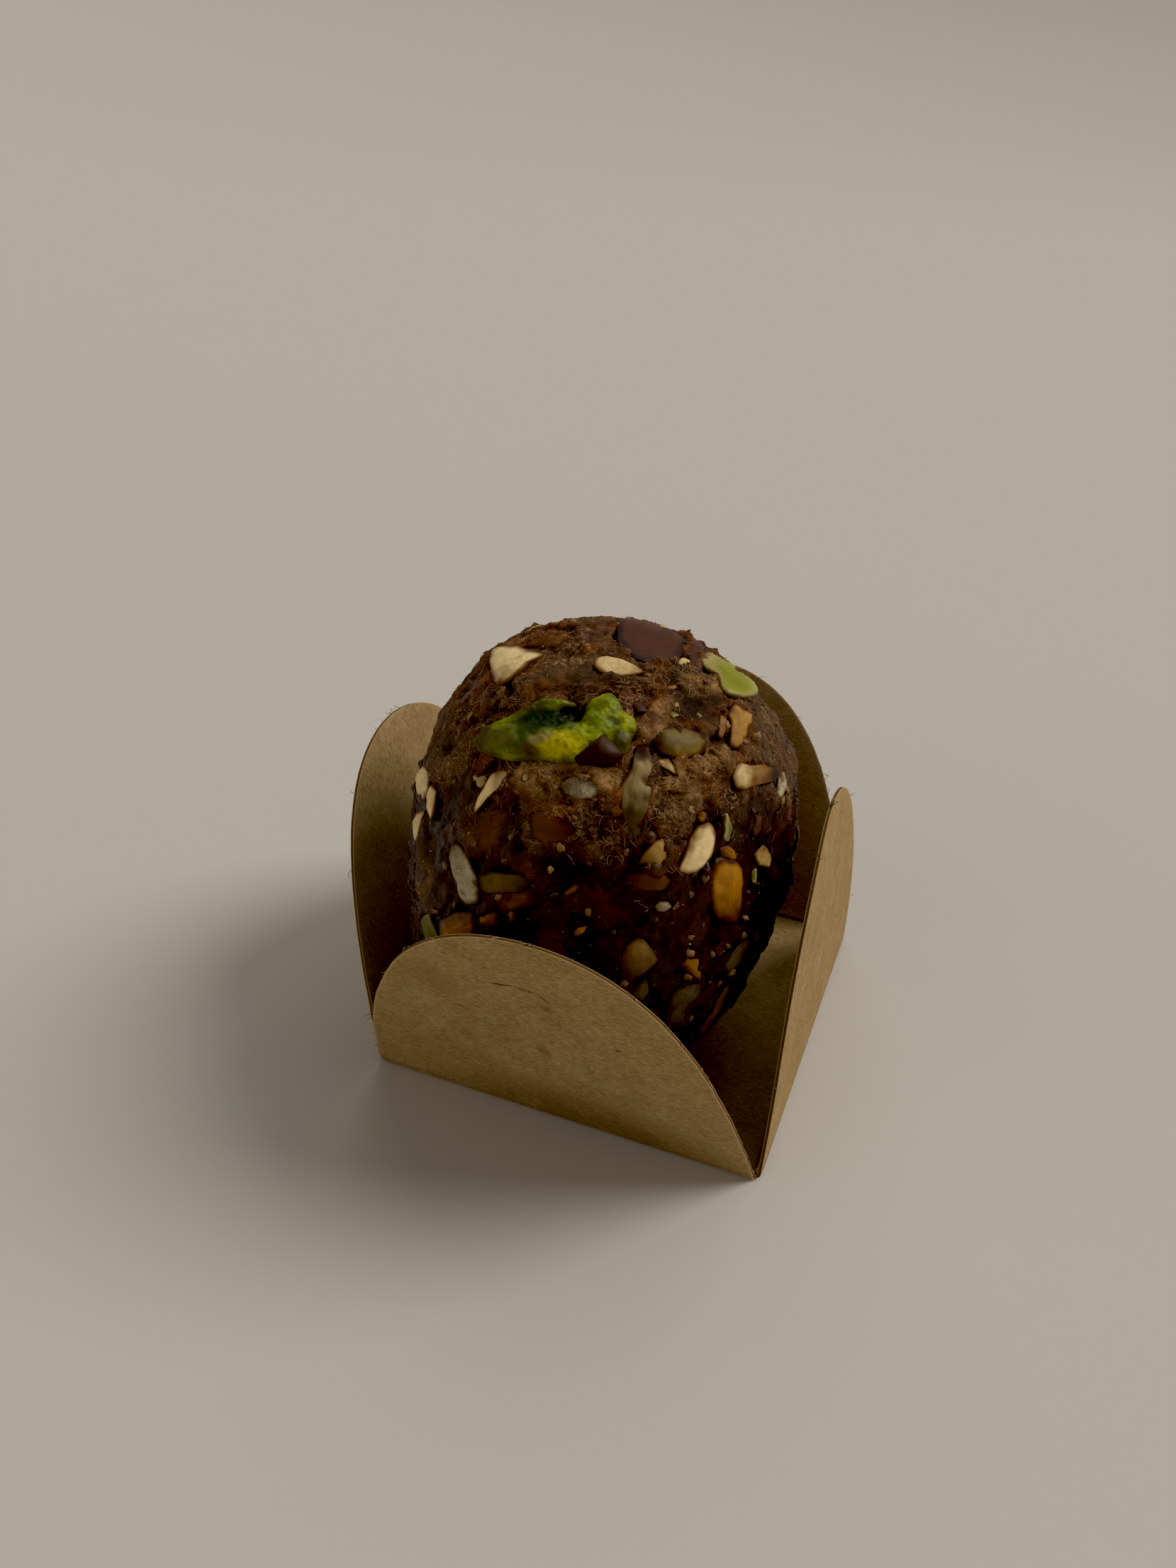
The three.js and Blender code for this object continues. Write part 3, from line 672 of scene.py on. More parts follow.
# Each outline's corners are how far right of the place they are read from and above it they show, in
# millimetres. After it come the tone, how far the piece stands out, and the side in degrees and the share
# that paste smears.
PALE_SHOWN = [
    # The first piece's smear on its lower side is partly paste and partly painted shade on its lower face
    ([(-10.1, 16.4), (-9.7, 17.1), (-9.0, 17.5), (-7.6, 17.9), (-5.9, 17.8), (-5.0, 17.6), (-6.6, 16.7),
      (-7.3, 15.9), (-8.4, 14.8), (-9.2, 14.1), (-9.7, 14.4), (-10.0, 15.2)], 0.9, 0.9, -75, 0.3),
    ([(-1.0, 16.4), (-0.6, 17.1), (0.3, 17.25), (1.8, 17.0), (3.4, 16.4), (4.2, 15.9), (3.4, 15.6),
      (1.8, 15.25), (0.6, 15.3), (-0.3, 15.7)], 0.45, 0.6, -20, 0.3),
    ([(12.1, 6.0), (12.3, 7.0), (12.8, 7.4), (13.7, 7.1), (15.0, 7.1), (15.9, 6.7), (16.2, 6.1), (15.9, 5.5),
      (14.8, 5.3), (13.9, 5.0), (13.3, 4.7), (12.5, 5.1)], 0.05, 0.5, -10, 0.6),
    ([(-11.9, 2.3), (-11.9, 3.2), (-11.5, 4.2), (-10.8, 5.2), (-10.2, 6.3), (-9.4, 6.6), (-8.6, 6.5),
      (-9.0, 5.4), (-9.8, 4.7), (-10.7, 3.9), (-11.4, 3.1)], 0.85, 0.5, 50, 0.3),
    ([(-17.5, 6.6), (-16.9, 7.2), (-16.1, 7.0), (-15.7, 5.9), (-15.9, 4.6), (-16.4, 3.8), (-17.2, 4.3),
      (-17.5, 5.3)], 0.7, 0.45, 0, 0.1),
    ([(-16.3, 4.4), (-15.8, 5.3), (-15.2, 4.7), (-15.3, 3.2), (-15.8, 1.9), (-16.3, 3.1)],
     0.75, 0.45, 0, 0.1),
    ([(-17.7, 1.8), (-17.2, 2.7), (-16.3, 2.9), (-16.6, 1.5), (-17.1, -0.2), (-17.6, 1.0)],
     0.65, 0.45, 0, 0.1),
    ([(9.9, 1.9), (10.4, 1.5), (10.8, 0.7), (10.7, -0.5), (10.4, -1.6), (9.6, -2.5), (8.7, -3.1), (7.8, -3.2),
      (7.0, -3.0), (6.8, -2.6), (7.3, -1.7), (7.6, -0.7), (8.0, 0.5), (8.7, 1.5)], 0.9, 0.7, 150, 0.28),
    ([(5.6, 0.3), (6.3, -0.9), (6.2, -1.7), (5.6, -2.4), (4.2, -2.5), (3.4, -2.0), (3.9, -1.0), (4.8, 0.0)],
     -0.25, 0.55, 200, 0.45),
    # The next piece lies low on the front where shade falls, and its dark tone is painted shade
    ([(1.7, -10.6), (2.2, -9.6), (3.2, -8.9), (4.0, -9.2), (4.6, -9.9), (5.3, -11.1), (5.0, -11.6),
      (4.1, -12.2), (3.1, -12.8), (1.8, -13.5), (1.8, -12.1)], -0.75, 0.55, 175, 0.4),
    ([(2.4, -13.7), (3.8, -13.0), (4.5, -13.0), (4.4, -14.0), (3.8, -14.9), (2.8, -14.3)],
     1.1, 0.5, -60, 0.1),
    ([(11.2, -12.3), (11.0, -11.6), (11.8, -10.6), (13.2, -9.4), (14.3, -8.8), (14.2, -9.4), (13.2, -10.7),
      (11.9, -11.9)], 0.5, 0.45, 30, 0.3),
    ([(5.9, -16.9), (5.9, -15.1), (6.7, -14.0), (7.9, -13.2), (8.9, -13.0), (9.5, -13.6), (9.1, -14.4),
      (8.0, -15.0), (7.5, -15.7), (7.2, -16.9), (6.7, -17.1)], 0.5, 0.5, 0, 0.1),
    ([(6.6, 16.7), (7.4, 17.0), (8.2, 16.6), (8.1, 16.2), (7.2, 16.1)], 0.4, 0.3, 180, 0.3),
    ([(5.1, 7.6), (6.2, 7.8), (6.9, 6.8), (7.2, 6.0), (6.4, 6.5), (5.4, 7.0)], 0.4, 0.35, -70, 0.3),
    ([(-7.6, 6.2), (-7.1, 6.7), (-6.7, 6.1), (-6.8, 5.4), (-7.4, 5.5)], 0.5, 0.35, 0, 0.2),
    ([(14.1, -1.2), (14.9, -0.2), (15.9, -1.1), (15.6, -2.5), (14.6, -2.3)], -0.1, 0.4, 90, 0.35),
    ([(-5.4, -2.8), (-4.8, -2.2), (-4.4, -2.6), (-4.8, -3.1)], 0.3, 0.35, 0, 0.1),
]
pale_nuts = chopped_pieces(
    "pale_nuts", PALE_SHOWN, spiral["cashew"] + spiral["almond"][::2], pale_nut,
    proud=0.5, seed=11)


# The roasted nuts
# Almonds and cashews roasted to amber before they were chopped, so their skin is oily. Rolling pressed them
# into the paste as it did the pale ones.

# Roasted flesh is deep amber with pale streaks where the knife split it, and has an oily gloss.
roasted_nut = nut_material("roasted_almond", "#663606", "#b67e22", "#502608", 0.4, 0.3, 0.14, streak=6.0)
ROASTED_SHOWN = [
    ([(10.2, -1.5), (10.9, -1.2), (11.6, -1.5), (12.6, -1.6), (13.3, -2.4), (13.5, -3.8), (13.5, -5.3),
      (13.2, -6.9), (12.6, -7.8), (11.7, -7.7), (10.6, -7.2), (10.1, -6.3), (9.7, -4.4), (9.7, -2.7)],
     0.5, 0.75, -100, 0.3),
    ([(10.8, -0.6), (11.8, -0.3), (12.5, -0.8), (12.9, -1.7), (12.4, -1.9), (11.0, -1.4)],
     0.2, 0.4, 180, 0.3),
    ([(-15.0, -7.4), (-13.6, -6.6), (-12.1, -6.6), (-11.7, -7.8), (-12.0, -9.2), (-14.8, -9.6)],
     0.55, 0.6, 90, 0.25),
    ([(-11.4, -6.8), (-10.6, -6.4), (-9.6, -6.7), (-9.7, -8.0), (-11.3, -8.2)], 0.2, 0.5, 0, 0.3),
    ([(-8.6, -6.4), (-8.1, -6.4), (-8.0, -7.4), (-8.5, -7.5)], 0.2, 0.4, 0, 0.2),
    ([(7.2, -11.5), (7.9, -10.7), (9.1, -10.7), (9.4, -11.6), (9.1, -13.0), (8.2, -12.5)],
     0.5, 0.5, 200, 0.3),
    ([(-3.9, -5.1), (-2.6, -4.0), (-2.0, -3.9), (-2.3, -4.5), (-3.5, -5.3)], 0.2, 0.35, 200, 0.3),
    ([(-2.9, -8.7), (-2.2, -7.9), (-1.3, -7.8), (-1.6, -8.4), (-2.4, -8.9)], 0.5, 0.35, 200, 0.3),
    ([(4.7, 14.3), (6.2, 14.5), (7.0, 14.8), (7.2, 14.3), (6.2, 13.9), (4.7, 14.0)], 0.2, 0.35, 180, 0.3),
    ([(11.1, 12.2), (11.6, 11.5), (11.6, 10.4), (11.1, 9.4), (10.7, 9.9), (10.9, 11.1)], 0.1, 0.3, 180, 0.3),
    ([(8.9, 2.9), (9.9, 2.7), (10.2, 1.9), (9.2, 1.7), (8.6, 2.2)], 0.2, 0.35, 120, 0.3),
]
roasted_nuts = chopped_pieces(
    "roasted_nuts", ROASTED_SHOWN, spiral["almond"][1::2], roasted_nut,
    proud=0.45, takes_low_shade=0.25, seed=23)


# The walnut shards
# Walnut halves broken by hand, so their faces are rough and their brown skin stays on in places. The paste
# holds them on every side but one.

# Broken walnut is tan and grainy, with peach flesh and brown skin in patches.
walnut_flesh = nut_material("broken_walnut", "#5a3812", "#b0843c", "#5f380e", 0.6, 0.5, 0.2, streak=1.6)
WALNUT_SHOWN = [
    ([(12.4, 13.0), (13.0, 12.2), (13.8, 11.8), (13.9, 11.2), (13.6, 10.0), (13.2, 9.0), (12.6, 8.7),
      (11.9, 9.0), (12.1, 10.0), (12.1, 11.1), (11.8, 11.8)], 0.8, 0.5, 180, 0.25),
    ([(8.4, -17.6), (8.9, -16.8), (10.2, -15.5), (11.2, -14.1), (11.9, -13.0), (12.4, -12.8), (12.1, -14.0),
      (10.9, -15.6), (9.8, -16.9), (8.9, -18.3)], 1.1, 0.55, -110, 0.0),
]
walnuts = chopped_pieces(
    "walnut_shards", WALNUT_SHOWN, spiral["walnut"], walnut_flesh,
    proud=0.45, squareness=3, roughness=0.14, takes_low_shade=0.75, seed=31)


# The pistachio chips
# Slivers of shelled pistachio, green inside and cream at the skin. They were cut with a knife and pressed in
# like the other nuts.

# Pistachio flesh is bright yellow-green, smooth where cut, with a cream edge.
pistachio_flesh = nut_material(
    "chopped_pistachio", "#42500a", "#8a8c18", "#a8985a", 0.42, 0.8, 0.05, streak=2.0)
PISTACHIO_SHOWN = [
    ([(9.4, 17.4), (9.8, 17.7), (10.4, 17.4), (11.3, 16.8), (12.4, 15.9), (13.3, 14.9), (13.9, 14.0),
      (14.0, 13.3), (13.2, 13.2), (12.4, 13.4), (11.7, 13.8), (11.2, 14.6), (10.9, 15.7), (10.1, 16.6),
      (9.5, 16.7)],
     0.8, 0.75, 135, 0.33),
    ([(-17.1, -7.0), (-16.4, -6.8), (-15.4, -9.0), (-16.2, -9.8)], 0.9, 0.4, 90, 0.1),
    ([(6.5, 13.2), (7.1, 13.1), (7.2, 12.5), (6.6, 12.4)], 0.3, 0.35, 0, 0.2),
    ([(6.3, 12.1), (6.9, 12.2), (7.2, 11.7), (6.6, 11.4)], 0.1, 0.35, 0, 0.2),
    ([(14.0, -2.4), (14.5, -2.4), (14.6, -4.0), (14.1, -4.4)], -0.6, 0.3, 0, 0.7),
    ([(10.9, 2.5), (11.6, 2.7), (12.3, 1.2), (12.0, -0.1), (11.3, 0.1), (11.1, 1.2)], -0.8, 0.35, 180, 0.72),
]
pistachio_chips = chopped_pieces(
    "pistachio_chips", PISTACHIO_SHOWN, spiral["pistachio"], pistachio_flesh,
    proud=0.45, takes_low_shade=0.6, seed=43)


# The dried fruit
# Chopped soft dates, some cut so thin that light comes through, and golden raisins, one of them torn flat and
# one dark and stuck to the kernel. Their own sugar sticks them in the paste.

# Date flesh is smooth chocolate brown, half glossy and nearly even.
date_flesh = nut_material("soft_date", "#2a0f05", "#4c230b", "#1f0a05", 0.5, 1.2, 0.05, streak=2.0)
DATE_SHOWN = [
    ([(1.2, 20.0), (2.0, 21.6), (5.0, 21.8), (7.4, 20.4), (8.0, 18.3), (7.8, 17.2), (6.6, 17.0), (5.3, 16.8),
      (4.0, 17.0), (3.1, 17.3), (2.6, 17.6), (1.8, 18.2), (1.2, 18.7), (1.4, 19.3)], 0.95, 0.4, -110, 0.05),
    ([(2.7, 12.9), (3.6, 13.2), (4.2, 12.6), (4.2, 11.9), (3.2, 11.8)], 0.5, 0.4, 0, 0.2),
    ([(7.8, 18.4), (8.7, 18.0), (9.3, 17.2), (9.0, 16.6), (8.3, 16.8), (7.9, 17.4)], 0.7, 0.4, 0, 0.2),
]
dates = chopped_pieces(
    "chopped_dates", DATE_SHOWN, spiral["date"][1::3] + spiral["date"][2::3], date_flesh,
    proud=0.35, squareness=3, roughness=0.03, seed=53)
# Thin date flesh lets light through, so it is red amber and glossy.
amber_date = nut_material("thin_date_flesh", "#3c1c0c", "#683a1a", "#2a120a", 0.3, 0.9, 0.08, streak=2.0)
AMBER_DATE_SHOWN = [
    ([(-6.6, 0.6), (-6.6, 2.6), (-5.6, 2.9), (-4.2, 2.6), (-3.0, 1.9), (-2.2, 0.9), (-3.4, -0.4),
      (-5.4, -0.9)], 0.4, 0.5, 0, 0.35),
    ([(2.0, -3.0), (3.8, -2.7), (6.3, -3.0), (7.0, -3.8), (5.9, -4.7), (3.5, -4.6), (2.1, -3.8)],
     0.4, 0.5, 180, 0.25),
    ([(-6.4, -9.2), (-5.0, -8.6), (-3.3, -9.4), (-3.2, -10.8), (-5.6, -10.9)], 0.6, 0.5, 180, 0.15),
    ([(14.0, 2.6), (14.7, 2.5), (14.9, 0.9), (14.4, 0.2), (13.9, 1.2)], 0.3, 0.4, 180, 0.25),
]
amber_dates = chopped_pieces(
    "thin_dates", AMBER_DATE_SHOWN, spiral["date"][::3], amber_date,
    proud=0.45, squareness=3, roughness=0.03, takes_low_shade=0.3, seed=59)
# A golden raisin is plump, amber green and half glossy, and dark brown where it dried.
raisin_skin = nut_material("golden_raisin", "#463008", "#7c6414", "#3a2206", 0.48, 0.9, 0.05)
RAISIN_SHOWN = [
    ([(4.6, 9.4), (5.3, 10.3), (6.5, 10.8), (7.9, 10.7), (9.2, 10.2), (9.9, 9.3), (9.4, 8.1), (7.9, 7.6),
      (6.5, 7.7), (5.3, 8.2)], 0.5, 0.6, 185, 0.35),
    ([(-11.5, -3.2), (-10.4, -2.8), (-9.0, -2.9), (-7.5, -3.0), (-6.3, -3.8), (-7.6, -4.7), (-9.2, -4.9),
      (-10.9, -5.0), (-11.5, -4.4)], 0.3, 0.4, 0, 0.3),
    ([(-2.6, 7.6), (-1.2, 8.8), (0.1, 9.9), (1.2, 9.2), (2.0, 8.0), (1.0, 7.1), (-0.6, 6.8), (-1.9, 7.0)],
     -1.0, 1.8, -100, 0.8),
]
raisin = chopped_pieces(
    "golden_raisin", RAISIN_SHOWN, [], raisin_skin,
    proud=0.6, squareness=2.4, roughness=0.03, seed=61)


# The coconut and bran flakes
# Thin shavings of dried coconut, and millet husk pressed to a flake. Rolling the ball laid them flat in its
# skin.

# A shaving is pale, finely wrinkled across its length, and silvery where it is wet.
coconut_flake = nut_material("dried_coconut", "#5a4626", "#dccdaa", "#6a4c1e", 0.27, 0.3, 0.35, streak=0.4)
COCONUT_SHOWN = [
    ([(-14.0, -0.6), (-13.3, -0.1), (-12.6, -1.1), (-12.1, -2.2), (-11.6, -3.3), (-11.5, -4.6), (-11.6, -5.8),
      (-12.6, -6.0), (-13.3, -5.4), (-13.5, -4.1), (-13.9, -2.7), (-14.2, -1.5)], 0.45, 0.45, 100, 0.15),
    ([(16.6, 6.4), (17.0, 6.7), (17.4, 5.2), (17.2, 3.9), (16.8, 4.2)], 0.5, 0.3, 0, 0.2),
    ([(4.8, -6.0), (5.3, -5.5), (6.2, -5.6), (6.6, -6.1), (5.9, -6.6), (5.1, -6.5)], 0.2, 0.45, 180, 0.2),
    ([(-3.9, 5.2), (-3.2, 5.8), (-2.6, 6.1), (-1.2, 6.0), (0.0, 4.8), (-0.9, 4.0), (-2.2, 3.9), (-3.4, 4.5)],
     0.1, 0.55, 190, 0.25),
]
coconut = chopped_pieces(
    "coconut_flakes", COCONUT_SHOWN, spiral["coconut"], coconut_flake,
    proud=0.3, squareness=3, roughness=0.08, seed=71)
# Husk pressed to a flake is olive tan and grainy, and dull.
husk_flake = nut_material("pressed_millet_husk", "#6e5a34", "#a08c60", "#54401e", 0.7, 0.3, 0.12, streak=3.0)
HUSK_SHOWN = [
    ([(2.9, 6.9), (3.0, 8.4), (3.5, 9.0), (4.3, 8.7), (4.9, 7.2), (4.7, 4.6), (4.3, 3.0), (3.5, 0.6),
      (2.8, 0.3), (2.2, 1.8), (1.8, 3.3), (1.8, 5.2)], 0.45, 0.35, -95, 0.4),
]
husk = chopped_pieces(
    "husk_flakes", HUSK_SHOWN, [], husk_flake, proud=0.3, squareness=2.5, roughness=0.12, seed=79)


# The whole millet
# Cooked grains of hulled millet that stayed whole when the paste was kneaded. They stand half out of it, and
# are stuck in it like the nuts.

# Hulled millet is a round pale yellow grain with a matt skin.
millet_grain = nut_material("hulled_millet", "#8a6d38", "#c7b283", "#6a4a1e", 0.5, 0.5, 0.03)
# Where each shows, and how wide it shows
MILLET_SHOWN = [
    (-11.4, 5.7, 1.6), (13.1, -8.7, 0.95), (11.7, -9.7, 0.75), (10.3, -10.5, 0.7), (13.4, -7.1, 0.7),
    (-3.6, -8.3, 0.5),
]
MILLET_TONE, MILLET_STANDS, MILLET_SMEAR = 0.5, 0.45, 0.1
MILLET_LONG, MILLET_WIDE = 1.1, 1.0
MILLET_ASIDE = 2.6  # how far beside a piece of fruit or coconut a hidden grain lies
ROUND = np.linspace(0, 2 * math.pi, 10, endpoint=False)
millet_shown = []
for right, up, wide in MILLET_SHOWN:
    ring = np.stack([right + wide / 2 * np.cos(ROUND), up + wide / 2 * np.sin(ROUND)], axis=-1)
    millet_shown.append((ring, MILLET_TONE, MILLET_STANDS, 0, MILLET_SMEAR))
millet_hidden = [
    ((point + across * (MILLET_WIDE / 2 + MILLET_ASIDE), along, across), MILLET_LONG, MILLET_WIDE)
    for kind in ("date", "coconut") for (point, along, across), _, _ in spiral[kind][1::2]
]
millet = chopped_pieces(
    "whole_millet", millet_shown, millet_hidden, millet_grain,
    proud=0.45, squareness=2, roughness=0.02, corners=10, seed=83)


# The pistachio kernel
# A whole shelled pistachio split a little along its seam, set by hand in a pocket near the crown. The seam's
# hollow is dark green and glossy, and it and its pit are painted darker still as shade. Its belly is yellow,
# and paste is smeared up its left end.

KERNEL_OUTLINE = [
    (-12.0, 9.6), (-10.9, 10.6), (-8.8, 11.5), (-7.0, 12.6), (-5.6, 13.4), (-3.8, 13.3), (-1.7, 13.0),
    (-0.4, 13.6), (0.6, 14.4), (1.5, 13.3), (1.8, 12.2), (3.0, 11.3), (3.1, 10.5), (2.5, 9.6), (2.3, 8.5),
    (1.6, 7.8), (0.0, 7.3), (-2.2, 7.3), (-3.8, 7.2), (-5.9, 7.4), (-8.0, 7.4), (-10.1, 8.0), (-11.7, 8.6),
]
KERNEL_DETAIL = 7
KERNEL_SQUARENESS = 2.7
KERNEL_PROUD = 0.8
KERNEL_ROOT = 3.0
KERNEL_RIM = 0.35  # share of the height over which its forms rise from the rim
TAIL_TIP = -12.0  # where the thin left end shows, how far it reaches and how thin it gets
TAIL_REACH = 4.0
TAIL_THINNESS = 0.35
FORM_WANDER = 0.25  # how far the edges of its forms wander, and over what size
FORM_WANDER_SIZE = 1.2
# Wrinkles, and patches of the paste smeared on it: size, strength and seed
KERNEL_WRINKLES = [(0.8, 0.08, 5), (0.3, 0.05, 6)]
KERNEL_SMEARS = [(1.4, 0.35, 8), (0.4, 0.2, 9)]
SMEAR_LEVEL = 0.25  # share of the height that the smear at the rim covers, and where it fades out
SMEAR_LEVEL_FADE = 0.5
SMEAR_FROM = -9.6  # where the smear up the left end starts to show
SMEAR_FADE = 3.2
# Hollows and swellings: where they show, their reach each way, and their height
KERNEL_FORMS = {
    "pit": (-2.9, 12.1, 1.3, 0.7, -1.0),
    "hollow": (-5.3, 11.3, 3.0, 1.2, -0.7),
    "belly": (-3.6, 8.8, 2.3, 1.2, 0.3),
    "lobe": (0.2, 13.1, 0.9, 0.7, 0.5),
    "knob": (2.0, 11.0, 0.9, 1.1, 0.5),
    "dent": (0.9, 10.7, 0.7, 0.6, -0.25),
    "membrane": (-5.5, 9.6, 1.0, 0.6, 0.2),
    "seam": (-6.1, 8.3, 1.1, 0.8, -0.25),
    "flank": (-7.4, 9.3, 2.4, 1.3, 0.0),
    "tail": (-9.9, 9.6, 2.2, 1.3, 0.1),
    "crease": (-7.6, 10.4, 0.4, 0.9, -0.3),
    "heel": (1.5, 9.0, 0.8, 0.9, 0.3),
    "bed": (-0.3, 8.2, 1.4, 0.9, -0.5),
}


def kernel_mesh(material):
    """The kernel's closed mesh, with how far each point lies in its hollows and on its swellings."""
    places, heights, _, triangles = drawn_ball(KERNEL_OUTLINE, KERNEL_DETAIL, KERNEL_SQUARENESS)
    skin, normals = show_surface(places)
    upper = np.clip(heights / KERNEL_RIM, 0, 1)
    tail_end = np.clip((places[:, 0] - TAIL_TIP) / TAIL_REACH, TAIL_THINNESS, 1)
    raised = np.where(heights > 0, heights * KERNEL_PROUD * tail_end, heights * KERNEL_ROOT)
    wander = np.stack([uneven(skin, FORM_WANDER_SIZE, seed) for seed in (3, 4)], axis=-1)
    warped = places + FORM_WANDER * wander
    values = {}
    for part, (right, up, breadth, reach, height) in KERNEL_FORMS.items():
        values[part] = np.exp(-((warped[:, 0] - right) / breadth) ** 2 - ((warped[:, 1] - up) / reach) ** 2)
        raised = raised + upper * height * values[part]
    wrinkles = sum(strength * uneven(skin, size, seed) for size, strength, seed in KERNEL_WRINKLES)
    raised = raised + upper * wrinkles
    smear = sum(strength * uneven(skin, size, seed) for size, strength, seed in KERNEL_SMEARS)
    at_rim = 1 - (heights - SMEAR_LEVEL) / SMEAR_LEVEL_FADE + smear
    at_left = (SMEAR_FROM - places[:, 0]) / SMEAR_FADE + smear
    values["film"] = np.clip(np.maximum(at_rim, at_left), 0, 1)
    values["lie"] = np.column_stack([places[:, 0] / 2, places[:, 1], raised])
    points = skin + normals * raised[:, None]
    return mesh_piece("pistachio_kernel_dressed", points, triangles, material, values)


# Pistachio flesh runs from dark green in the hollow, painted darker there as shade, to yellow on the belly,
# finely wrinkled and half glossy.
kernel_flesh, tree, shader = new_material("whole_pistachio")
grain = add_node(tree, STORED, out="Vector", attribute_name="lie")
mottle = add_node(tree, NOISE, {"Vector": grain, "Scale": 1.3, "Detail": 4.0})
mottled = add_node(tree, RANGE, {"Value": mottle, "From Min": 0.35, "From Max": 0.65})
colour = add_node(tree, MIX, {0: mottled, 6: linear("#5a660a"), 7: linear("#9aa21c")}, **RGB_MIX)
# The hollow's and the pit's tints are the flesh's green painted darker as shade
KERNEL_TINTS = [
    ("flank", "#3f4e08"), ("tail", "#625e10"), ("belly", "#b0a40c"), ("seam", "#5a430e"),
    ("membrane", "#8f8048"), ("lobe", "#788210"), ("knob", "#9c9e18"), ("heel", "#46400e"),
    ("dent", "#6e7a40"), ("hollow", "#132806"), ("pit", "#101706"), ("bed", "#2a2408"),
]
for stored, tint in KERNEL_TINTS:
    part = add_node(tree, STORED, out="Fac", attribute_name=stored)
    part = add_node(tree, RANGE, {"Value": part, "From Min": 0.2, "From Max": 0.65})
    colour = add_node(tree, MIX, {0: part, 6: colour, 7: linear(tint)}, **RGB_MIX)
wrinkle = add_node(tree, NOISE, {"Vector": grain, "Scale": 3.5, "Detail": 3.0})
vein = add_node(tree, RANGE, {"Value": wrinkle, "From Min": 0.56, "From Max": 0.64, "To Max": 0.4})
colour = add_node(tree, MIX, {0: vein, 6: colour, 7: linear("#2e3806")}, **RGB_MIX)
smeared = add_node(tree, STORED, out="Fac", attribute_name="film")
smeared = add_node(tree, MATH, {0: smeared, 1: 0.85}, operation="MULTIPLY")
colour = add_node(tree, MIX, {0: smeared, 6: colour, 7: linear("#40300e")}, **RGB_MIX)
wrinkled = add_node(tree, BUMP, {"Height": wrinkle, "Strength": 0.6, "Distance": 0.1 * MM})
tree.links.new(colour, shader["Base Color"])
tree.links.new(wrinkled, shader["Normal"])
shader["Roughness"].default_value = 0.5
shader["Specular IOR Level"].default_value = 0.25

kernel = kernel_mesh(kernel_flesh)
dress(kernel, "pistachio_kernel")


# The ball of paste
# Dates, millet flour and ground nuts kneaded to a paste and rolled between the palms. It is dry, dusty and
# fibrous on top, and moist, dark and glossy lower down, its darkness there partly painted shade, and it
# closes round every nut with a thin crevice.

PASTE_CELLS = 128
POCKET_SINK = 3.0
BED_DEPTH = 0.7  # how deep the paste is pressed in under a nut
BED_SLOPE = 0.35
BED_SEARCH = 6.0
LAP_REACH = 0.2  # how far it laps over a nut here and shrinks from it there
LAP_MORE = 0.16
LAP_SIZES = (1.6, 0.6)  # coarse and fine raggedness of that edge
LAP_FINE = 0.6
POCKET_RAGGED = 1.5  # how much more ragged the edge of the kernel's pocket is
WELT = 0.55  # height of the paste pushed up round the kernel, most of it above and to the left
WELT_REACH = 0.8
WELT_MIDDLE = (-4.0, 10.3)  # where the kernel's middle shows, and the welt's share of its height there
WELT_SHARE = 0.55
WELT_GROWTH = (20.0, 8.0)  # how far to the left and up it grows by its full height
WELT_MOST = 1.2
WELT_UNEVEN = 0.4
WELT_PATCH = 2.5
PATCH_WANDER = 0.7  # how far the edges of patches of paste wander, and over what size
PATCH_WANDER_SIZE = 2.0
PATCH_CORE = 1.5  # how strong a patch is in its middle, and how much its soft edge is cut back
PATCH_EDGE = 0.25
FAR_PATCH = 0.45  # strength of the patches on the side that isn't seen
FAR_PATCH_SIZE = 3.5
FAR_PATCH_START = 0.2
# Small holes in the skin, and swellings, whose depth is below zero: where they show, reach and depth
PITS = [
    (-8.9, 14.2, 0.5, 1.2), (2.7, 9.9, 0.6, 1.4), (-7.6, -0.4, 0.5, 0.8), (8.4, 12.8, 1.5, 0.4),
    (-9.6, 2.2, 0.9, 0.6), (-6.0, 5.8, 2.0, -0.8), (-0.8, 5.4, 1.8, -0.4),
]
# Patches where the paste differs, some of them painted sheen and shade: where they show, and their reach each
# way
PATCHES = {
    # Dust, and at the ball's left and right edges a painted grey sheen
    "dust": [(-3.5, 16.2, 3.2, 1.8), (-15.4, 11.5, 1.6, 3.5), (15.8, 9.8, 1.8, 3.6), (17.4, 6.0, 1.0, 4.0),
             (-14.7, 9.0, 0.8, 0.6), (-16.2, -2.5, 1.2, 4.0), (-14.6, 7.5, 2.2, 3.0)],
    "bran": [(-5.8, 6.0, 2.8, 1.3), (-0.6, 6.4, 2.4, 0.8), (7.2, 4.8, 2.1, 2.2), (5.4, 11.6, 1.4, 1.3),
             (9.6, 14.6, 1.5, 1.0), (10.5, 8.0, 1.5, 1.2)],
    # Dark char, and in the fold low on the left and beside a pit near the kernel painted shade
    "char": [(8.6, 12.9, 2.0, 1.7), (-7.4, -0.6, 0.9, 1.0), (-5.8, -2.2, 1.2, 0.8), (2.6, 9.8, 0.6, 1.2)],
    "syrup": [(-11.5, 13.5, 1.3, 2.2), (-1.2, 19.6, 1.4, 0.7), (3.9, 10.3, 0.8, 0.8), (-10.6, 0.4, 1.9, 1.9),
              (-8.5, -5.4, 1.5, 0.9), (-4.6, -9.8, 1.9, 1.1)],
}


def depth_inside(flat, outline):
    """How far places lie inside an outline."""
    middle, reach = outline_reach(outline)
    beside = flat - middle
    edge = np.interp(np.arctan2(beside[:, 1], beside[:, 0]), OUTLINE_STEPS, reach, period=2 * math.pi)
    return edge - np.hypot(beside[:, 0], beside[:, 1])


